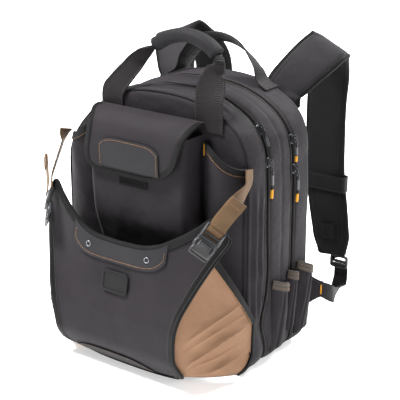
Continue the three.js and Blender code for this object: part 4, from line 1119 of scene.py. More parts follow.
def makeGussets():
    # creases fan out from the foot towards the body over a soft bulge; the top edge is bound and
    # sewn, and the rear edge taped
    for name, sign in sides:
        u, v = np.meshgrid(np.linspace(0, 1, 92), np.linspace(0, 1, 124))
        grid = gussetPoint(u, v, sign)
        hold = np.sin(np.pi * np.clip(u, 0, 1)) ** 0.5 * np.clip(v * 5, 0, 1) * np.clip((1 - v) * 6, 0, 1)
        fan = sum(
            height * ridge(v - start - slope * (u - 0.15), width) for start, slope, height,
            width in gussetCreases
        )
        fan = fan * smooth(u, 0.02, 0.3) * (1 - smooth(u, 0.7, 1.0))
        soft = 3.0 * folds(grid * [1, 1, 0.8], 50, 71) + softNoise(grid, 15, 75)
        shift = np.clip((fan - 3.4 + soft * (1 - 0.8 * v)) * hold, -9, 9)
        out = (sign, -0.4, 0)
        grid = grid + outwards(grid, out=out) * shift[..., None]
        addSheet(
            "gusset" + name.title(), grid, 1.4, out, "tanCloth", "gusset_" + name, "hung",
        )
        a = np.linspace(0, 1, 70)
        top = gussetPoint(a, np.ones(70), sign)
        down, out = edgeFrame(top, gussetPoint(a, np.full(70, 0.97), sign), (sign, 0, 0))
        bound = sweep(top - out * 0.7, down, out, roundProfile(10.5, 4.0, 4, 22, (3.6, 0)))
        a = np.linspace(0, 1, 60)
        rear = gussetPoint(np.ones(60), a, sign)
        into = unit(gussetPoint(np.full(60, 0.93), a, sign) - rear)
        parts = [bound, tape(rear + into * 2.0, into, 6.5, 3.4, count=16)]
        addPiece("gussetBinding" + name.title(), parts, "binding")
        line = tube(top + down * 9.0 + out * 0.6, 0.5, count=6)
        addPiece("gussetLine" + name.title(), line, "thread")


makePanel()
makePatches()
makeEyelets()
makeBadge()
makeGussets()
print("front pocket made")

# Flap pocket and the tall slots beside it

boxSize = {"half": 88.0, "reach": 42.0, "top": 368.0, "bottom": 150.0}
boxReach = np.array([[0, 0.16], [0.2, 0.6], [0.4, 0.92], [0.7, 1], [1, 0.9]]).T
flapSize = {"top": 386.0, "bottom": 299.0, "half": 95.0, "thick": 2.4}
flapEdge = np.array([
    [0, 0.7, 0.3], [0.06, 0.83, 0.46], [0.15, 0.9, 0.62], [0.32, 0.92, 0.78],
    [0.65, 0.88, 0.89], [0.84, 0.87, 0.95], [1, 1, 1],
]).T
flapLine = np.array([
    [0, 0.075, 1], [0.12, 0.42, 0.985], [0.24, 0.82, 0.91], [0.32, 1.0, 0.83],
    [0.42, 1.1, 0.7], [0.6, 1.14, 0.44], [0.8, 1.12, 0.18], [1, 1.09, 0],
]).T


def flapPoint(u, v):
    # reach and height down the flap, and its left and right half widths by height
    height = eased(flapLine[0], flapLine[2], v)
    reach = eased(flapLine[0], flapLine[1], v)
    left = flapSize["half"] * eased(flapEdge[0], flapEdge[1], height)
    right = flapSize["half"] * eased(flapEdge[0], flapEdge[2], height)
    x = mix(-left, right, u)
    z = mix(flapSize["bottom"], flapSize["top"], height)
    return np.stack([x, -boxSize["reach"] * reach - seamGap, z], -1)


def makeCentrePocket():
    # a box of cloth, its reach read from the table by height and rounded to its sides by a sine
    b = boxSize
    u, v = np.meshgrid(np.linspace(0, 1, 96), np.linspace(0, 1, 60))
    reach = b["reach"] * eased(boxReach[0], boxReach[1], v)
    along = 2 * u - 1
    turn = np.minimum((1 - np.abs(along)) / 0.16, 1)
    x = b["half"] * np.clip(along * 1.12, -1, 1)
    y = -seamGap - (reach - 2) * np.sin(turn * np.pi / 2) ** 0.8
    grid = np.stack([x * (1 - 0.04 * turn), y, mix(b["bottom"], b["top"], v)], -1)
    normals = outwards(grid, out=(0, -1, 0))
    hold = smooth(np.sin(np.pi * u), 0, 0.5) * (1 - smooth(v, 0.55, 0.7))
    grid = wrinkled(grid, normals, 1.6, 45, 81, hold)
    pocket = addPiece(
        "centrePocket", clothShell(grid, 2.0, -outwards(grid, out=(0, -1, 0))), "nylon",
        "centre_pocket"
    )
    cutSheet(pocket, grid)
    # sewn seams down both front corners
    parts = []
    for along in (-0.86, 0.86):
        t = np.linspace(0, 1, 50)
        reach = b["reach"] * eased(boxReach[0], boxReach[1], t)
        x = b["half"] * along * 1.06
        path = np.stack([np.full(50, x), -seamGap - reach * 0.93, mix(b["bottom"], b["top"] - 2, t)], 1)
        parts.append(tube(path, 1.5))
    addPiece("centrePocketSeams", parts, "binding")


def makeFlap():
    # a cloth folded over the pocket, with noise folds, a bound and sewn edge, a patch and hook tape
    u, v = np.meshgrid(np.linspace(0, 1, 82), np.linspace(0, 1, 76))
    grid = flapPoint(u, v)
    normals = outwards(grid, out=(0, -1, 0.3))
    hold = smooth(v, 0.02, 0.2) * (1 - smooth(v, 0.3, 0.45)) + 0.4 * smooth(v, 0.4, 0.5)
    grid = grid + normals * (hold * (0.5 + 0.9 * folds(grid, 60, 91)))[..., None]
    base = grid + normals * flapSize["thick"]
    rests, out = ["front_door", "centre_pocket"], (0, -1, 0.3)
    addSheet("flapCloth", base, flapSize["thick"], out, "nylon", "centre_flap", "folded")
    # bound edge: down the left side, along the foot and up the right side
    n = 60
    left = flapPoint(np.zeros(n), np.linspace(0.03, 1, n))
    foot = flapPoint(np.linspace(0, 1, n), np.ones(n))
    right = flapPoint(np.ones(n), np.linspace(1, 0.03, n))
    path = np.concatenate([left, foot[1:-1], right])
    keep = evenly(path, 2.2)
    path = pick(path, keep)
    path = np.stack(
        [np.convolve(np.pad(path[:, k], 2, mode="edge"), np.ones(5) / 5, "valid") for k in range(3)], 1
    )
    middle = flapPoint(
        np.full(len(path), 0.5), np.interp(path[:, 2], flapLine[2][::-1] * 87 + 299, flapLine[0][::-1])
    )
    middle[:, 2] = np.maximum(path[:, 2], 318)
    into, out = edgeFrame(path, middle, (0, -1, 0.4))
    mid = path + out * 1.2
    binding = sweep(mid, into, out, roundProfile(8.4, 4.8, 4.5, 24, (2.4, 0)))
    addPiece("flapBinding", binding, "binding")
    row = stitchRow(mid + into * 8.6 + out * 1.5, out)
    addPiece("flapEdgeStitch", row, "darkThread")

    u, v = np.meshgrid(np.linspace(0, 1, 60), np.linspace(0, 1, 30))

    def onFlap(x, z, lift):
        # a point on the flap's face, its reach read from the table by height
        height = (z - flapSize["bottom"]) / (flapSize["top"] - flapSize["bottom"])
        front = flapLine[:, 3:]
        reach = eased(front[2][::-1], front[1][::-1], height)
        return np.stack([x, -boxSize["reach"] * reach - seamGap - flapSize["thick"] - lift, z], -1)

    x = mix(-61.0, 49.0, u)
    z = mix(309.0, 354 - 10 * np.abs(2 * u - 1) ** 5, v)
    grid = onFlap(x, z, 2.6)
    addPiece(
        "flapPatch", clothShell(grid, 1.2, outwards(grid, out=(0, -1, 0))), "patchNylon",
        "flap_patch"
    )
    t = np.linspace(0, 1, 100)
    xs = np.concatenate([np.full(20, -58.0), mix(-58, 46, t), np.full(20, 46.0)])
    top = 351 - 10 * np.abs(2 * t - 1) ** 5
    zs = np.concatenate([np.linspace(311, top[0], 20), top, np.linspace(top[-1], 309, 20)])
    addPiece("flapStitching", stitchRow(onFlap(xs, zs, 2.75), [0, -1.0, 0.1]), "thread")
    # rows of hook tape under the flap's edge
    strip = plate(
        np.array([-4.0, -42.35, 289.0]), xAxis, zAxis, -yAxis, bevelRings(1.5, 0.5, 6.4, 0.2, 1.2), 52, 13,
        2
    )
    addPiece("hookStrip", strip, "airMesh", "hook_strip")


slotSize = {"inner": 95.0, "outer": 160.0, "top": 374.0, "drop": 44.0, "reach": 20.0, "foot": 110.0}


def smoother(x, low, high):
    # quintic ease from 0 at low to 1 at high: t^3 (6 t^2 - 15 t + 10)
    t = np.clip((x - low) / (high - low), 0, 1)
    return t**3 * (t * (6 * t - 15) + 10)


def slotPoint(u, v, sign):
    # bellies out between its sewn edges, more towards the mouth, which falls to the side
    s = slotSize
    mouth = s["top"] - 16 - s["drop"] * 0.66 * smoother(u, -0.1, 1.1)
    swell = np.sin(np.pi * np.clip(u, 0, 1)) ** 0.7 * (0.55 + 0.45 * v)
    z = mix(s["foot"], mouth, v)
    return np.stack(
        [sign * mix(s["inner"], s["outer"], u) + leanAt(z) * u, -0.56 - s["reach"] * swell, z], -1
    )


def makeSlots():
    # two tall pockets with noise folds, a bound and sewn mouth and a bartack
    stitches, bartacks = [], []
    for name, sign in sides:
        u, v = np.meshgrid(np.linspace(0, 1, 50), np.linspace(0, 1, 72))
        grid = slotPoint(u, v, sign)
        normals = outwards(grid, out=(0, -1, 0))
        hold = np.sin(np.pi * u) ** 0.6 * (1 - smooth(v, 0.85, 0.98))
        grid = wrinkled(grid, normals, 1.8, 40, 101 + sign, hold)
        title, node = "tallSlot" + name.title(), "tall_slot_" + name
        addSheet(title, grid, 2.0, -yAxis, "nylon", node, "stretched")
        a = np.linspace(0, 1, 60)
        top = slotPoint(a, np.ones(60), sign)
        down, out = edgeFrame(top, slotPoint(a, np.full(60, 0.97), sign), -yAxis)
        mid, along = top - out, tangents(top)[2]
        addPiece(
            "slotBinding" + name.title(), sweep(mid, down, out, roundProfile(12.5, 4.8, 4.5, 24, (4.2, 0))),
            "binding"
        )
        stitches.append(stitchRow(mid + down * 8.2 + out * 2.5, out))
        tack = mid[2] + down[2] * np.linspace(0, 17, 12)[:, None] + out[2] * 2.9 + along * 1.2
        bartacks.append(tape(tack, along, 2.6, 1.4))
    addPiece("slotStitching", stitches, "thread")
    addPiece("slotBartacks", bartacks, "yellowThread")


makeCentrePocket()
makeFlap()
makeSlots()
print("door pockets made")

# Tan straps with their buckles

buckleSize = {"width": 33.0, "length": 50.0, "thick": 8.0, "web": 25.0, "webThick": 2.2}
frontStraps = [
    {"name": "left", "sign": -1, "at": (136, -82, 232), "back": -3, "tail": 58},
    {"name": "right", "sign": 1, "at": (152, -77, 244), "back": -4, "tail": 44},
]


def ribbonFrame(stations, count):
    # stations of (place, across, width) joined by a Catmull-Rom curve
    path, along, place = throughPoints([s[0] for s in stations], count)
    low = np.minimum(place.astype(int), len(stations) - 2)
    t = (place - low)[:, None]
    t = t * t * (3 - 2 * t) * 0.5 + t * 0.5
    sides = np.array([s[1] for s in stations], float)
    wide = np.array([s[2] for s in stations], float)[:, None]
    across = mix(sides[low], sides[low + 1], t)
    across = unit(across - along * np.sum(across * along, 1, keepdims=True))
    return path, across, unit(np.cross(along, across)), mix(wide[low], wide[low + 1], t)[:, 0]


def webProfile(width, thick, edge, sides):
    # a rounded flat profile of unit size, and the same scaled to each width and the thickness
    base = roundProfile(1, 1, edge, sides)
    return base, base[None] * np.stack([width, np.full(len(width), thick)], 1)[:, None]


def webbing(stations, count, thick, ripple=0.0, edge=5.0, sides=24):
    # a rounded flat profile whose width follows the stations, with a slight ripple along it
    path, across, lift, width = ribbonFrame(stations, count)
    profile = webProfile(width, thick, edge, sides)[1]
    if ripple:
        path = path + lift * (ripple * softNoise(path, 18, 7))[:, None]
    return sweep(path, across, lift, profile)


def makeFrontStraps():
    # webbing from each buckle to the wall, and the loose tail with its sewn fold
    b = buckleSize
    for strap in frontStraps:
        sign, name = strap["sign"], strap["name"]
        turn = np.array([sign, 1, 1])
        centre = np.array(strap["at"], float)
        anchor = np.array([bodySize["half"] + 2, strap["back"], 318.0])
        along = unit(anchor - centre)
        across = np.array([0.6, 0.45, -0.65])
        across = unit(across - along * (across @ along))
        out = unit(np.cross(across, along))
        out = -out if out[1] > 0 else out
        bar = b["length"] * 0.5

        def at(distance, lift):
            return centre + along * distance + out * lift

        lay = b["thick"] / 2 + b["webThick"]
        flat = np.array([-0.2, 0.95, 0])
        # the left strap hangs twisted off the wall, so that the camera sees it by its edge
        swing = np.array([0.5, 0.87, 0]) if sign < 0 else flat
        w = b["web"]
        stations = [
            (at(bar - 18, 0), across, w), (
                at(bar - 12, lay * 0.4), across, w
            ), (at(bar - 6, lay), across, w),
            (at(bar + 8, lay * 0.7), across, w), (
                at(bar + 28, 7), mix(across, swing, 0.5 if sign < 0 else 0.3), w
            ),
            (anchor + [4 if sign < 0 else 1, -2, -8], swing, w), (anchor + [-0.5, 3, 14], flat, w),
        ]
        stations = [(p * turn, a * turn, s) for p, a, s in stations]
        addPiece(
            "tanStrap" + name.title(), webbing(stations, 70, b["webThick"], 0.3), "tanWebbing",
            "tan_strap_" + name
        )
        lift = lay + b["webThick"] + 0.5
        t = strap["tail"]
        tail = [
            (at(bar - 3, lift), across, w), (at(bar + t * 0.2, lift + 1), across, w),
            (at(bar + t * 0.55, lift + 6), across, w), (at(bar + t, lift + 13), across, w)
        ]
        tail = [(p * turn, a * turn, s) for p, a, s in tail]
        parts = [webbing(tail, 40, b["webThick"], 0.2)]
        path, side, up, _ = ribbonFrame(tail, 40)
        fold = [
            (
                path[k] + up[k] * (b["webThick"] * (1 if (up[k] * turn) @ out > 0 else -1)), side[k], w
            ) for k in (31, 34, 37, 40)
        ]
        parts.append(webbing(fold, 12, b["webThick"]))
        addPiece("strapTail" + name.title(), parts, "tanWebbing", "strap_tail_" + name)
        face = np.array(
            [(path[k] + up[k] * (3.4 * (1 if (up[k] * turn) @ out > 0 else -1))) for k in (33, 34)]
        )
        rows = []
        for k in (0, 1):
            spread = np.linspace(-w / 2 + 3, w / 2 - 3, 12)[:, None]
            line = face[k] + side[33] * spread
            rows.append(stitchRow(line, out * turn, size={"length": 1.8, "pitch": 2.6, "radius": 0.35}))
        addPiece("strapTailStitch" + name.title(), rows, "thread")
        makeBuckle(name, centre * turn, across * turn, along * turn, out * turn)


def blockLoft(at, across, up, out, stations, count=24):
    # rounded sections of (distance, half width, half thickness, level) along `up`
    rows = [
        at + up * d + p[:, :1] * across + (p[:, 1:] + level) * out for d, w, t,
        level in stations for p in (roundProfile(2 * w, 2 * t, 4, count),)
    ]
    ends = [np.repeat(r.mean(0)[None], count, 0) for r in (rows[0], rows[-1])]
    grid = np.stack([ends[0], *rows, ends[1]])
    quads, corners = gridQuads(grid.shape[0], count, True)
    return faceOut(grid.reshape(-1, 3), quads, np.zeros((len(quads), 4, 2)))


def makeBuckle(name, centre, across, up, out):
    # plates, frames and lofts set along the strap, across it and out of it
    b = buckleSize
    half, wide, thick = b["length"] / 2, b["width"], b["thick"]
    # ladder half: a window frame with a toothed bar that the web folds round
    raised = centre + out * 4.4
    top = openFrame(raised, across, up, out, wide, 25, 6, 3.6, thick * 0.8, offset=half - 12.0)
    bars = [
        blockLoft(
            centre, up, across, out, [(-wide / 2 + 2, 1.7, 2.2, -0.6), (wide / 2 - 2, 1.7, 2.2, -0.6)]
        )
    ]
    for offset, w in ((half - 15.0, 1.5), (half - 1.6, 2.1)):
        bars.append(
            blockLoft(
                raised + up * offset, up, across, out,
                [(-wide / 2 + 2, w, 1.7, 0), (wide / 2 - 2, w, 1.7, 0)]
            )
        )
    shoulder = blockLoft(
        centre, across, up, out,
        [
            (-2.5, wide / 2 - 1.5, 2.6, 0), (-1.5, wide / 2 - 0.6, 3.2, 0), (2, wide / 2 - 0.4, 3.3, 0),
            (3.4, wide / 2 - 1.6, 2.7, 0)
        ]
    )
    addPiece("buckleLadder" + name.title(), [top, *bars, shoulder], "buckle", "buckle_" + name)
    # socket half: waisted where the arms show, with a web slot at its foot
    socket = blockLoft(centre, across, up, out, [
        (-2.8, wide / 2 - 7.5, 3.4, 0), (-3.4, wide / 2 - 6.6, 3.9, 0), (-9, wide / 2 - 6.2, 4.1, 0),
        (-12, wide / 2 - 4.4, 4.1, 0), (-14.5, wide / 2 - 1.2, 4.0, 0), (-17.5, wide / 2 - 0.6, 3.9, 0),
        (-20.5, wide / 2 - 1.4, 3.4, 0), (-21.4, wide / 2 - 3.2, 2.6, 0),
    ])
    foot = openFrame(centre, across, up, out, wide - 1.5, 9.5, 3.5, 2.6, thick * 0.55, offset=-half + 4.6)
    addPiece("buckleSocket" + name.title(), [socket, foot], "darkBuckle")
    arms, ridges = [], []
    for side in (-1, 1):
        t = np.linspace(0, 1, 16)
        bow = wide / 2 - 3.0 + 1.9 * np.sin(np.pi * t) ** 1.5
        path = centre + side * bow[:, None] * across + mix(-1.0, -14.5, t)[:, None] * up
        arms.append(
            sweep(
                path, np.broadcast_to(across, path.shape), np.broadcast_to(out, path.shape),
                roundProfile(3.6, 5.4, 3, 16)
            )
        )
        edge = centre + side * (wide / 2 - 1.2) * across + mix(half - 3, 2.0, t)[:, None] * up + out * 7.4
        ridges.append(tube(edge, 0.7, count=8))
    ridges.append(
        tube(
            centre + np.linspace(-wide / 2 + 7, wide / 2 - 7, 12)[:, None] * across - 4.6 * up + out * 4.0,
            0.6, count=8
        )
    )
    addPiece("buckleArms" + name.title(), [*arms, *ridges], "pullTube")


def makeTabs():
    # a small rounded plate of webbing with a row of stitches
    for name, sign in sides:
        at = np.array([sign * 150.0, -0.7, 164.0])
        tab = plate(at, xAxis, zAxis, -yAxis, bevelRings(2.4, 0.6, 5.4, 0.0, 1.0), 11, 16, 2)
        addPiece("webTab" + name.title(), tab, "hem", "webbing_tab_" + name)
        line = at + [0, -2.6, -5] + np.linspace(-4, 4, 8)[:, None] * [1, 0, 0]
        addPiece(
            "webTabStitch" + name.title(),
            stitchRow(line, -yAxis, size={"length": 1.6, "pitch": 2.2, "radius": 0.3}), "lightThread",
        )


makeFrontStraps()
makeTabs()
print("front straps made")

# Handles

handleSize = {"wide": 48.0, "narrow": 17.0, "thick": 2.4, "gripHeight": 20.0, "gripDepth": 24.0}


def handleStations():
    # place, width direction and width of the web, from one foot over the grip to the other
    w, n, flat, level = handleSize["wide"], handleSize["narrow"], -1.45, (0, 1, 0)
    return [
        ((-73, flat, 377), (1, 0, 0), w * 0.84), ((-73, flat, 404), (1, 0, 0.05), w * 0.84),
        ((-65, flat, 418), (1, 0, -0.1), w * 0.75), ((-42, 6, 447), (0.95, 0.2, -0.3), w * 0.6),
        ((-25, 12, 468), (0.6, 0.7, -0.4), w * 0.48), ((-6, 15, 482), level, n), ((22, 15, 498), level, n),
        ((54, 15, 503.5), level, n), ((84, 15, 496.5), level, n), ((105, 15, 481), level, n),
        ((109, 12, 469), (0.6, 0.8, 0), w * 0.4), ((104, 9, 457), (0.95, 0.3, 0.1), w * 0.68),
        (
            (101, 4, 437), (1, 0.1, 0.05), w * 0.98
        ), ((101, flat, 415), (1, 0, 0.1), w), ((102, flat, 374), (1, 0, 0.05), w),
    ]


def makeFrontHandle():
    # a web along the stations and a sleeve whose ends swell by a quarter circle
    stations = handleStations()
    path, across, lift, width = ribbonFrame(stations, 180)
    base, profile = webProfile(width, handleSize["thick"], 6, 30)
    # the web buckles lengthways where it narrows to the grip
    squeeze = 1 - np.clip(width / handleSize["wide"], 0, 1)
    wave = 2.2 * squeeze[:, None] * np.cos(3 * np.pi * base[None, :, 0] * 2) * (squeeze[:, None] < 0.62)
    profile[..., 1] += wave
    addPiece("handleWeb", sweep(path, across, lift, profile), "webbing", "front_handle")
    lines = []
    for side in (-1, 1):
        for run in (slice(0, 40), slice(140, 181)):
            edge = path[run] + across[run] * (side * (width[run] / 2 - 2.2))[:, None]
            for face in (-1, 1):
                lines.append(stitchRow(edge + lift[run] * face * 1.2, lift[run] * face))
    addPiece("handleEdgeStitch", lines, "lightThread")
    # padded sleeve, sewn shut along its underside
    t = np.linspace(5.1, 8.9, 60)
    n = 1400
    fine, tangent, place = throughPoints([s[0] for s in stations], n)
    centre = np.stack([np.interp(t, place, fine[:, k]) for k in range(3)], 1)
    along = unit(np.stack([np.interp(t, place, tangent[:, k]) for k in range(3)], 1))
    side = unit(yAxis - along * along[:, 1:2])
    up = np.cross(along, side)
    end = np.clip(np.minimum(t - 5.1, 8.9 - t) / 0.16, 0, 1)
    plump = 0.72 + 0.28 * np.sqrt(1 - (1 - end) ** 2)
    ripple = 1 + 0.02 * softNoise(centre, 9, 3)
    outer = roundProfile(
        handleSize["gripDepth"], handleSize["gripHeight"], 2.3, 34
    )[None] * (plump * ripple)[:, None, None]
    inner = roundProfile(21, 9.2, 3, 34)
    grid = np.concatenate([
        centre[:, None] + outer[..., :1] * side[:, None] + outer[..., 1:] * up[:, None],
        (centre[:, None] + inner[None, :, :1] * side[:, None] + inner[None, :, 1:] * up[:, None])[::-1],
    ])
    quads, corners = gridQuads(grid.shape[0], grid.shape[1], True, True)
    u, v = runLengths(grid, True, True)
    uv = np.stack([u[corners[..., 0]], v[corners[..., 1]]], -1)
    grip = addPiece(
        "gripSleeve", faceOut(grid.reshape(-1, 3), quads, uv), "gripCloth", "front_grip"
    )
    seam = centre - up * (handleSize["gripHeight"] / 2 * plump)[:, None] * np.sign(up[:, 2:3])
    parts = [tube(seam, 0.9, count=8)]
    for k in (1, 58):
        parts.append(tube(grid[k], 1.2, closed=True, up=along[k], count=8))
    addPiece("gripSeams", parts, "binding")


def archTop(x):
    # height of the body's top at x, from its superellipse solved for z
    share = (np.abs(x) / bodySize["half"]) ** bodySize["power"]
    return bodySize["top"] - 150 * (1 - (1 - share) ** (1 / bodySize["power"]))


def makeRearHandle():
    # a web from side to side over the arch, narrowed and crowned at its middle
    y, lean = rearEnd - 22, bodySize["lean"]
    tilt = (0, 0.75, -0.65)
    half = [(92, 1.9, (0, 1, 0)), (76, 4.5, (0, 1, -0.1)), (64, 22, (0, 0.9, -0.5)), (36, 52 * 0.85, tilt)]
    rows = [(-x, rise, side) for x, rise, side in half] + [(0, 52, tilt)] + half[::-1]
    stations = [((lean + x, y, float(archTop(x)) + rise + 2.4), side, 34.0) for x, rise, side in rows]
    path, across, lift, width = ribbonFrame(stations, 130)
    middle = np.abs(path[:, 0] - lean)
    width = 34 - 6 * (1 - smooth(middle, 14, 44))
    base, profile = webProfile(width, handleSize["thick"], 6, 30)
    profile[..., 1] += (1 - smooth(middle, 10, 50))[:, None] * 3.0 * (1 - (2 * base[None, :, 0]) ** 2)
    addPiece("rearHandleWeb", sweep(path, across, lift, profile), "webbing", "rear_handle")
    lines = []
    for run in (slice(2, 18), slice(113, 129)):
        for side in (-1, 1):
            edge = path[run] + across[run] * (side * (width[run] / 2 - 2.5))[:, None]
            up = np.where(lift[run, 2:3] < 0, -lift[run], lift[run])
            lines.append(stitchRow(edge + up * 1.25, up))
    addPiece("rearHandleStitch", lines, "lightThread")


makeFrontHandle()
makeRearHandle()
print("handles made")

# Shoulder straps with their fittings

strapSize = {"width": 70.0, "thick": 12.0, "lock": (32.0, 22.0, 7.0), "web": 25.0}


def strapStations(name):
    # place, width direction and width, from the sewn root over the bend to the hanging foot
    root, w = backFace + seamGap + strapSize["thick"] / 2, strapSize["width"]
    sign = 1 if name == "right" else -1
    hanging = [
        (
            (sign * 117, 302, 300), (1, 0, 0), w
        ), ((sign * 120, 301, 235), (1, 0, 0), w), ((sign * 128, 300, 180), (1, 0, 0), w),
        (
            (sign * 136, 300, 128), (1, 0, sign * -0.1), w * 0.95
        ), ((sign * 139, 300, 97), (1, 0, sign * -0.1), w * 0.72),
    ]
    if name == "right":
        upper = [
            (
                (101, root + 4, 374), (0.62, 0, -0.78), w * 0.85
            ), ((103, root + 7, 396), (0.62, 0, -0.78), w * 0.85),
            ((117, root + 21, 418), (0.7, 0, -0.7), w * 0.92), ((136, 228, 443), (0.85, 0, -0.5), w),
            ((150, 244, 459), (0.91, 0, -0.41), w), ((142, 262, 455), (0.91, 0, -0.41), w),
            (
                (131, 281, 434), (0.98, 0, -0.2), w
            ), ((123, 296, 402), (1, 0, -0.05), w), ((117, 302, 356), (1, 0, 0), w),
        ]
    else:
        upper = [
            (
                (-100, root + 2, 372), (0.9, 0, 0.3), w * 0.95
            ), ((-100, root + 5, 392), (0.9, 0, 0.3), w * 0.95),
            ((-112, root + 19, 412), (0.85, 0.2, 0.3), w), ((-128, 226, 432), (0.81, 0.4, 0.28), w),
            ((-139, 243, 444), (0.81, 0.48, 0.26), w), ((-135, 262, 443), (0.83, 0.45, 0.24), w),
            (
                (-121, 282, 427), (0.95, 0.25, 0.12), w
            ), ((-106, 295, 404), (1, 0.1, 0), w), ((-104, 302, 356), (1, 0, 0), w),
        ]
    return upper + hanging


def makeStrap(name):
    path, across, lift, width = ribbonFrame(strapStations(name), 150)
    # the faces: outer cloth and inner mesh are two half profiles, crowned, with a bound edge
    count = 22
    s = np.linspace(-1, 1, count)
    crown = (1 - np.abs(s) ** 3.2) ** 0.6
    thick = strapSize["thick"] / 2
    end = np.clip(np.minimum(np.arange(151), np.arange(151)[::-1]) / 6, 0, 1)
    plump = (0.55 + 0.45 * end)[:, None]
    half = (width / 2 - 1.5)[:, None]
    # which way is outwards on the hanging part: away from the pack's back
    face = np.sign(lift[110, 1])
    for part, side, finish in (("Cloth", face, "strapCloth"), ("Mesh", -face, "airMesh")):
        level = side * (0.9 + (thick - 1.2) * crown[None] * plump)
        noise = 0.5 * folds(
            path[:, None] + across[:, None] * (s * 30)[None, :, None], 30, 121 if part == "Cloth" else 131
        )
        level = level + side * noise * crown[None]
        grid = path[:, None] + across[:, None] * (half * s[None])[..., None]
        grid = grid + lift[:, None] * level[..., None]
        normals = outwards(grid, out=lift[75] * side)
        piece = addPiece(
            "shoulderStrap" + part + name.title(), clothShell(grid, 1.6, normals), finish,
            "shoulder_strap_" + name
        )
    parts, lights, rows = [], [], []
    for side in (-1, 1):
        edge = path + across * side * (width / 2 - 1.6)[:, None]
        parts.append(sweep(edge, across * side, lift, roundProfile(8.5, 6.4, 3, 18, (-1.8, 0))))
        for f in (-1, 1):
            line = path + across * side * (width / 2 - 8.6)[:, None] + lift * (f * (2.2 + 2.2 * plump))
            rows.append(stitchRow(line[3:-3], lift[3:-3] * f))
    for k in (0, -1):
        spread = np.linspace(-1, 1, 24)[:, None] * (width[k] / 2 - 2)
        parts.append(tape(path[k] + across[k] * spread, lift[k], 6.5, 5, count=16))
    addPiece("strapBinding" + name.title(), parts, "binding")
    addPiece("strapStitch" + name.title(), rows, "darkThread")
    # yellow bartack where the strap turns over
    k = 44
    tack = path[k] - lift[k] * face * 5.9 + across[k] * np.linspace(-7, 7, 10)[:, None]
    addPiece(
        "strapBartack" + name.title(), tape(tack, unit(path[k + 1] - path[k]), 2.0, 1.2), "yellowThread",
    )
    # box stitch patch low on the inner face
    k = 136
    at = path[k] - lift[k] * face * 7.2
    up = unit(path[k - 2] - path[k + 2])
    out = -lift[k] * face
    patch = plate(at, across[k], up, out, bevelRings(1.2, 0.4, 12.4, 0, 1.2), 25, 27, 2)
    addPiece("strapPatch" + name.title(), patch, "strapWeb")
    w, h = 9.5, 10.5
    corners = [(-w, -h), (w, -h), (w, h), (-w, h), (-w, -h), (w, h)]
    loop = cornerPath(corners, 11)
    line = at + out * 1.3 + loop[:, :1] * across[k] + loop[:, 1:] * up
    addPiece(
        "strapBoxStitch" + name.title(),
        stitchRow(line, out, size={"length": 1.9, "pitch": 2.6, "radius": 0.35}), "darkThread"
    )


def makeFittings(name, sign):
    # elastic band round the hanging part
    base = roundProfile(2 * 38.6, 2 * 9.0, 5, 60)
    path = np.stack([sign * 120.5 + base[:, 0], 301 + base[:, 1], np.full(60, 221.0)], 1)
    band = tape(path, (0, 0, 1), 27, 2.0, closed=True, count=18)
    addPiece("crossWeb" + name.title(), band, "strapWeb", "cross_web_" + name)
    rows = [
        stitchRow(
            path + [0, 0, dz] + (path - path.mean(0)) * [0.022, 0.12, 0],
            unit((path - path.mean(0)) * [0.2, 1, 0]), True
        ) for dz in (-11, 11)
    ]
    addPiece("crossWebStitch" + name.title(), rows, "darkThread")
    w, h, d = strapSize["lock"]
    at = np.array([sign * 153.0, 300.0, 85.5])
    x, z, y = xAxis, zAxis, yAxis
    parts = [openFrame(at, x, z, y, w, h, 5, 3.4, d)]
    for dz, r in ((0.2, 2.2), (-5.2, 1.4)):
        parts.append(blockLoft(at + z * dz, z, x, y, [(-w / 2 + 2, r, 2.4, 0.4), (w / 2 - 2, r, 2.4, 0.4)]))
    addPiece("ladderLock" + name.title(), parts, "buckle", "ladder_lock_" + name)
    web = strapSize["web"]
    side = (1, 0, 0)
    rows = [
        ((153, 297, 80), side), ((153, 302, 80), side), ((153, 307, 78.5), side), ((153, 308, 72), side),
        ((155, 304, 58), side),
        ((158, 294, 47), (0.8, 0.4, 0.2)), ((166, 272, 43), (0.4, 0.3, 0.9)), ((181, 240, 54), (0.1, 0, 1)),
        ((190, 213, 68), (0, -0.3, 0.9)), ((186, 197.5, 79), (0, 0, 1)), ((175, 187.6, 84), (0, 0, 1)),
    ]
    turn = np.array([sign, 1, 1])
    stations = [(np.array(p) * turn, np.array(a, float) * [1, sign, sign], web) for p, a in rows]
    addPiece(
        "lowerWeb" + name.title(), webbing(stations, 110, 2.2, 0.6), "webbing",
        "lower_webbing_" + name
    )
    # loop that joins the strap's foot to the lock
    hang = [
        ((sign * 146, 300, 108), side, 24), ((sign * 149, 300.5, 99), side, 24),
        ((sign * 152, 301.5, 92), side, 24)
    ]
    addPiece("lockLoop" + name.title(), webbing(hang, 14, 3.2), "strapWeb")


wingSize = {"length": 32.0, "root": 28.0, "tip": 12.0, "thick": 3.0}


def wingHalf(u):
    # half the wing's height from its root to its tip, half of it eased
    return mix(wingSize["root"], wingSize["tip"], smooth(u, 0, 1) * 0.5 + u * 0.5)


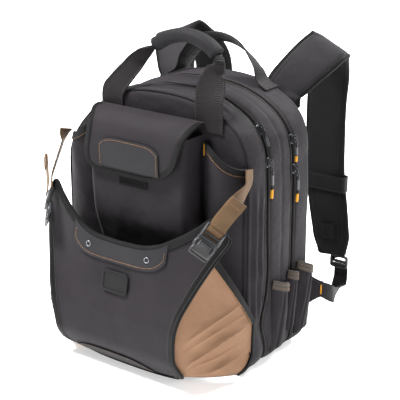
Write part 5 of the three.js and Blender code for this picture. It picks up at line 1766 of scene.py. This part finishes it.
def makeWing(name, sign):
    # tapering cloth wing, with a bound edge and a bartack where the web enters
    out = unit(np.array([sign * 0.6, -0.8, 0]))
    foot = np.array([sign * (bodySize["half"] - 9.4), rearEnd + 6, 84.0])
    up = zAxis
    side = np.cross(up, out) * sign
    side = side if side[0] * sign > 0 else -side
    u, v = np.meshgrid(np.linspace(0, 1, 24), np.linspace(-1, 1, 30))
    level = wingSize["thick"] + 0.9 * np.sin(np.pi * u) * np.cos(2.2 * v)
    grid = foot + (wingSize["length"] * u)[..., None] * side + (v * wingHalf(u))[..., None] * up
    grid = grid + level[..., None] * out
    addPiece(
        "strapWing" + name.title(), clothShell(grid, wingSize["thick"], outwards(grid, out=out)), "nylon",
        "strap_wing_" + name
    )
    rows = []
    for k in (-1, 1):
        u = np.linspace(0, 1, 30)
        half = wingHalf(u) - 3.4
        line = foot + (wingSize["length"] * u)[:, None] * side + (k * half)[:, None] * up + 3.8 * out
        rows.append(stitchRow(line, out))
    addPiece("wingStitch" + name.title(), rows, "lightThread")
    tack = foot + side * 28 + np.linspace(-8, 8, 12)[:, None] * up + out * 4.2
    addPiece("wingBartack" + name.title(), tape(tack, side, 2.4, 1.4), "yellowThread")


for name, sign in sides:
    makeStrap(name)
    makeFittings(name, sign)
    makeWing(name, sign)
print("shoulder straps made")

# Side pockets and zip pulls

sidePockets = [
    {"place": "front", "start": 0.385, "end": 0.61, "foot": 22, "high": 138, "low": 123, "bulge": 15},
    {"place": "middle", "start": 0.64, "end": 0.765, "foot": 40, "high": 140, "low": 132, "bulge": 12},
    {"place": "rear", "start": 0.795, "end": 1.0, "foot": 26, "high": 147, "low": 129, "bulge": 17},
]


def sidePocketPoint(p, u, v, sign):
    # bellies out towards the mouth between its two sewn sides
    y = rearEnd * mix(p["start"], p["end"], u)
    mouth = mix(p["high"], p["low"], u)
    z = mix(p["foot"], mouth, v)
    swell = np.sin(np.pi * np.clip(u, 0, 1)) ** 0.6 * (0.18 + 0.82 * v**0.6)
    return np.stack([sign * (bodySize["half"] + 0.95 + p["bulge"] * swell), y, z], -1)


def makeSidePockets():
    # three pouches on each side with upright folds, a crease, a hem and sewn sides
    for name, sign in sides:
        for k, p in enumerate(sidePockets):
            u, v = np.meshgrid(np.linspace(0, 1, 46), np.linspace(0, 1, 56))
            grid = sidePocketPoint(p, u, v, sign)
            normals = outwards(grid, out=(sign, 0, 0))
            upright = grid * [1, 1, 0.22]
            hold = np.sin(np.pi * u) ** 0.7 * (1 - 0.8 * smooth(v, 0.8, 0.95))
            shift = 3.2 * folds(upright, 17, 151 + k * 3 + sign, 2) - 2.6 * np.exp(
                -(((u - 0.3 - 0.2 * v) / 0.07) ** 2)
            )
            grid = grid + normals * (shift * hold)[..., None]
            title = p["place"].title() + name.title()
            node, rests = f"side_pocket_{p['place']}_{name}", ["front_door", "middle_band", "rear_tub"]
            addSheet(
                "sidePocket" + title, grid, 1.6, (sign, 0, 0), "nylon", node, "gathered"
            )
            a = np.linspace(0.01, 0.99, 40)
            top = sidePocketPoint(p, a, np.ones(40), sign)
            out = unit(np.cross(unit(np.gradient(top, axis=0)), [0, 0, 1.0]))
            out = np.where(out[:, :1] * sign < 0, -out, out)
            hem = tape(top - [0, 0, 4.4] + out * -0.4, (0, 0, 1), 13.5, 3.6, count=22)
            addPiece("pocketHem" + title, hem, "hem")
            rows = [
                stitchRow(
                    top + [0, 0, dz] + out * 1.5, out, size={"length": 2.2, "pitch": 3.2, "radius": 0.35}
                ) for dz in (-1.5, -7.5)
            ]
            addPiece("hemStitch" + title, rows, "thread")
            seams = []
            for edge in (0.0, 1.0):
                line = sidePocketPoint(p, np.full(40, edge), np.linspace(0, 1, 40), sign)
                seams.append(tape(line, (0, 1, 0), 4.5, 2.4, count=14))
            addPiece("pocketSeam" + title, seams, "binding")


pulls = [
    {"node": "front_zip_pull_upper", "y": bodySize["door"] + 4, "z": 374, "length": 34, "drift": 0},
    {"node": "front_zip_pull_lower", "y": bodySize["door"] + 4, "z": 328, "length": 56, "drift": 0},
    {"node": "rear_zip_pull_upper", "y": middleEnd + 4, "z": 346, "length": 34, "drift": 1},
    {"node": "rear_zip_pull_lower", "y": middleEnd + 4, "z": 300, "length": 54, "drift": 1},
]


def makePulls():
    # a slider and frame links by the zip, then two cords that hang in a sine bow in a grip tube
    edge = outline(0)
    edge = edge[(edge[:, 0] > bodySize["lean"]) & (edge[:, 1] > 60)]
    order = np.argsort(edge[:, 1])

    def sideX(z):
        # the outline's reach to the side at a height
        return np.interp(z, edge[order, 1], edge[order, 0])

    for p in pulls:
        z = p["z"]
        x, below = sideX(z), sideX(z - 10)
        along = unit(np.array([x - below, 0, 10.0]))
        out = np.array([along[2], 0, -along[0]])
        drift = bodySize["drift"] * driftShare(np.array(float(z))) * p["drift"]
        at = np.array([x, p["y"] + drift, float(z)]) - out * 1.3
        across = yAxis
        title = "".join(w.title() for w in p["node"].split("_"))
        slider = [
            plate(at, across, along, out, bevelRings(2.4, 0.8, 4.4, 0, 1.4), 9, 15, 3.6),
            plate(at + out * 3.2, across, along, out, bevelRings(2.2, 0.8, 3.0, 0, 1.2), 6.4, 12, 2.8),
            openFrame(at + out * 6.4, out, along, across, 5.5, 12, 2.6, 1.3, 1.6),
        ]
        links = []
        start = at + out * 8.4 + along * 2
        finish = np.array([sideX(z - p["length"]) + 6.5, at[1], z - p["length"]])
        line = np.stack(
            [mix(start, finish, t) + out * 1.6 * math.sin(math.pi * t) for t in np.linspace(0, 1, 60)]
        )
        for k, share in enumerate((0.02, 0.12, 0.22, 0.32)):
            c = line[int(share * 59)]
            a, b = (across, out) if k % 2 else (out, across)
            links.append(openFrame(c, a, along, b, 5.8, 9.0, 2.8, 1.6, 1.6))
        addPiece("slider" + title, slider + links, "slider", p["node"])
        cords = []
        for side in (-1, 1):
            cords.append(tube(line[14:] + across * side * 1.2, 1.15, count=8))
        addPiece("pullCord" + title, cords, "strapWeb")
        grip = line[24:42] if p["length"] < 40 else line[20:36]
        addPiece(
            "pullTube" + title, tape(grip, across, 5.2, 4.4, power=2.4, count=14), "pullTube"
        )
        if p["node"] == "front_zip_pull_upper":
            continue
        tip = line[44:58] if p["length"] < 40 else line[42:56]
        addPiece(
            "pullTip" + title, tape(tip, across, 4.8, 4.0, power=2.4, count=14), "yellowThread"
        )


def makeFeet():
    # round-edged studs of rubber at the four corners of the body's foot
    rings = [(7.9, 0.0), (1.6, 0.0), (0.6, 0.5), (0, 1.6), (0.6, 4.6), (1.2, 5.6), (7.9, 5.6)]
    for row, y in (("front", 18.0), ("rear", rearEnd - 22)):
        for name, sign in sides:
            x = sign * (bodySize["half"] - bodySize["corner"] - 4)
            stud = plate(np.array([x, y, 0.0]), xAxis, yAxis, zAxis, rings, 16, 24, 4)
            addPiece("foot" + row.title() + name.title(), stud, "rubber", f"{row}_foot_{name}")
    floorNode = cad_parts["pocket_floor"]
    for slot in floorNode.material_slots:
        slot.material = finishes["lining"]


makeSidePockets()
makePulls()
makeFeet()
print("side pockets, pulls and feet made")

# Studio: a wide pale floor, a bright world and three soft lights

studio = {"floor": 0.9, "glow": 0.52, "world": 0.27, "key": 350.0, "fill": 26.0, "rim": 150.0}
u, v = np.meshgrid(np.linspace(-6, 6, 25), np.linspace(-6, 6, 25))
sheetPoints = np.stack([u, v, 0 * u - 0.0005], -1).reshape(-1, 3)
quads, _ = gridQuads(25, 25)
floorMesh = bpy.data.meshes.new("floor")
floorMesh.from_pydata(sheetPoints.tolist(), [], quads.tolist())
floor = bpy.data.objects.new("floor", floorMesh)
bpy.context.scene.collection.objects.link(floor)
floorLook = Nodes("floorPaper")
tone = floorLook.noise(3.0, 2.0)
f = studio["floor"]
floorLook.put(
    floorLook.shader.inputs["Base Color"],
    floorLook.blend(tone, [f, f, f, 1], [f * 1.01, f * 1.01, f * 1.012, 1])
)
floorLook.shader.inputs["Roughness"].default_value = 0.9
floorLook.shader.inputs["Specular IOR Level"].default_value = 0.1
floorLook.shader.inputs["Emission Color"].default_value = (1, 1, 1, 1)
floorLook.shader.inputs["Emission Strength"].default_value = studio["glow"]
floorMesh.materials.append(floorLook.material)

world = bpy.data.worlds.new("studio")
world.use_nodes = True
background = world.node_tree.nodes["Background"]
background.inputs[0].default_value = (1.0, 1.0, 1.0, 1)
# white paper behind, with a dimmer room lighting the pack
rays = world.node_tree.nodes.new("ShaderNodeLightPath")
level = world.node_tree.nodes.new("ShaderNodeMapRange")
level.inputs[3].default_value = studio["world"]
level.inputs[4].default_value = 1.0
world.node_tree.links.new(rays.outputs["Is Camera Ray"], level.inputs[0])
world.node_tree.links.new(level.outputs[0], background.inputs[1])
bpy.context.scene.world = world


def softLight(name, power, place, target, size):
    # a disc lamp turned from its place towards its target
    data = bpy.data.lights.new(name, "AREA")
    data.energy, data.size, data.shape = power, size, "DISK"
    light = bpy.data.objects.new(name, data)
    bpy.context.scene.collection.objects.link(light)
    light.location = place
    light.rotation_euler = (Vector(target) - Vector(place)).to_track_quat("-Z", "Y").to_euler()


softLight("key", studio["key"], (-0.9, -1.1, 3.0), (0, 0, 0.2), 0.9)
softLight("fill", studio["fill"], (2.4, -0.8, 1.5), (0, 0, 0.2), 1.0)
softLight("rim", studio["rim"], (0.9, 1.8, 2.1), (0, 0, 0.25), 1.0)
bpy.context.scene.view_settings.view_transform = "Standard"
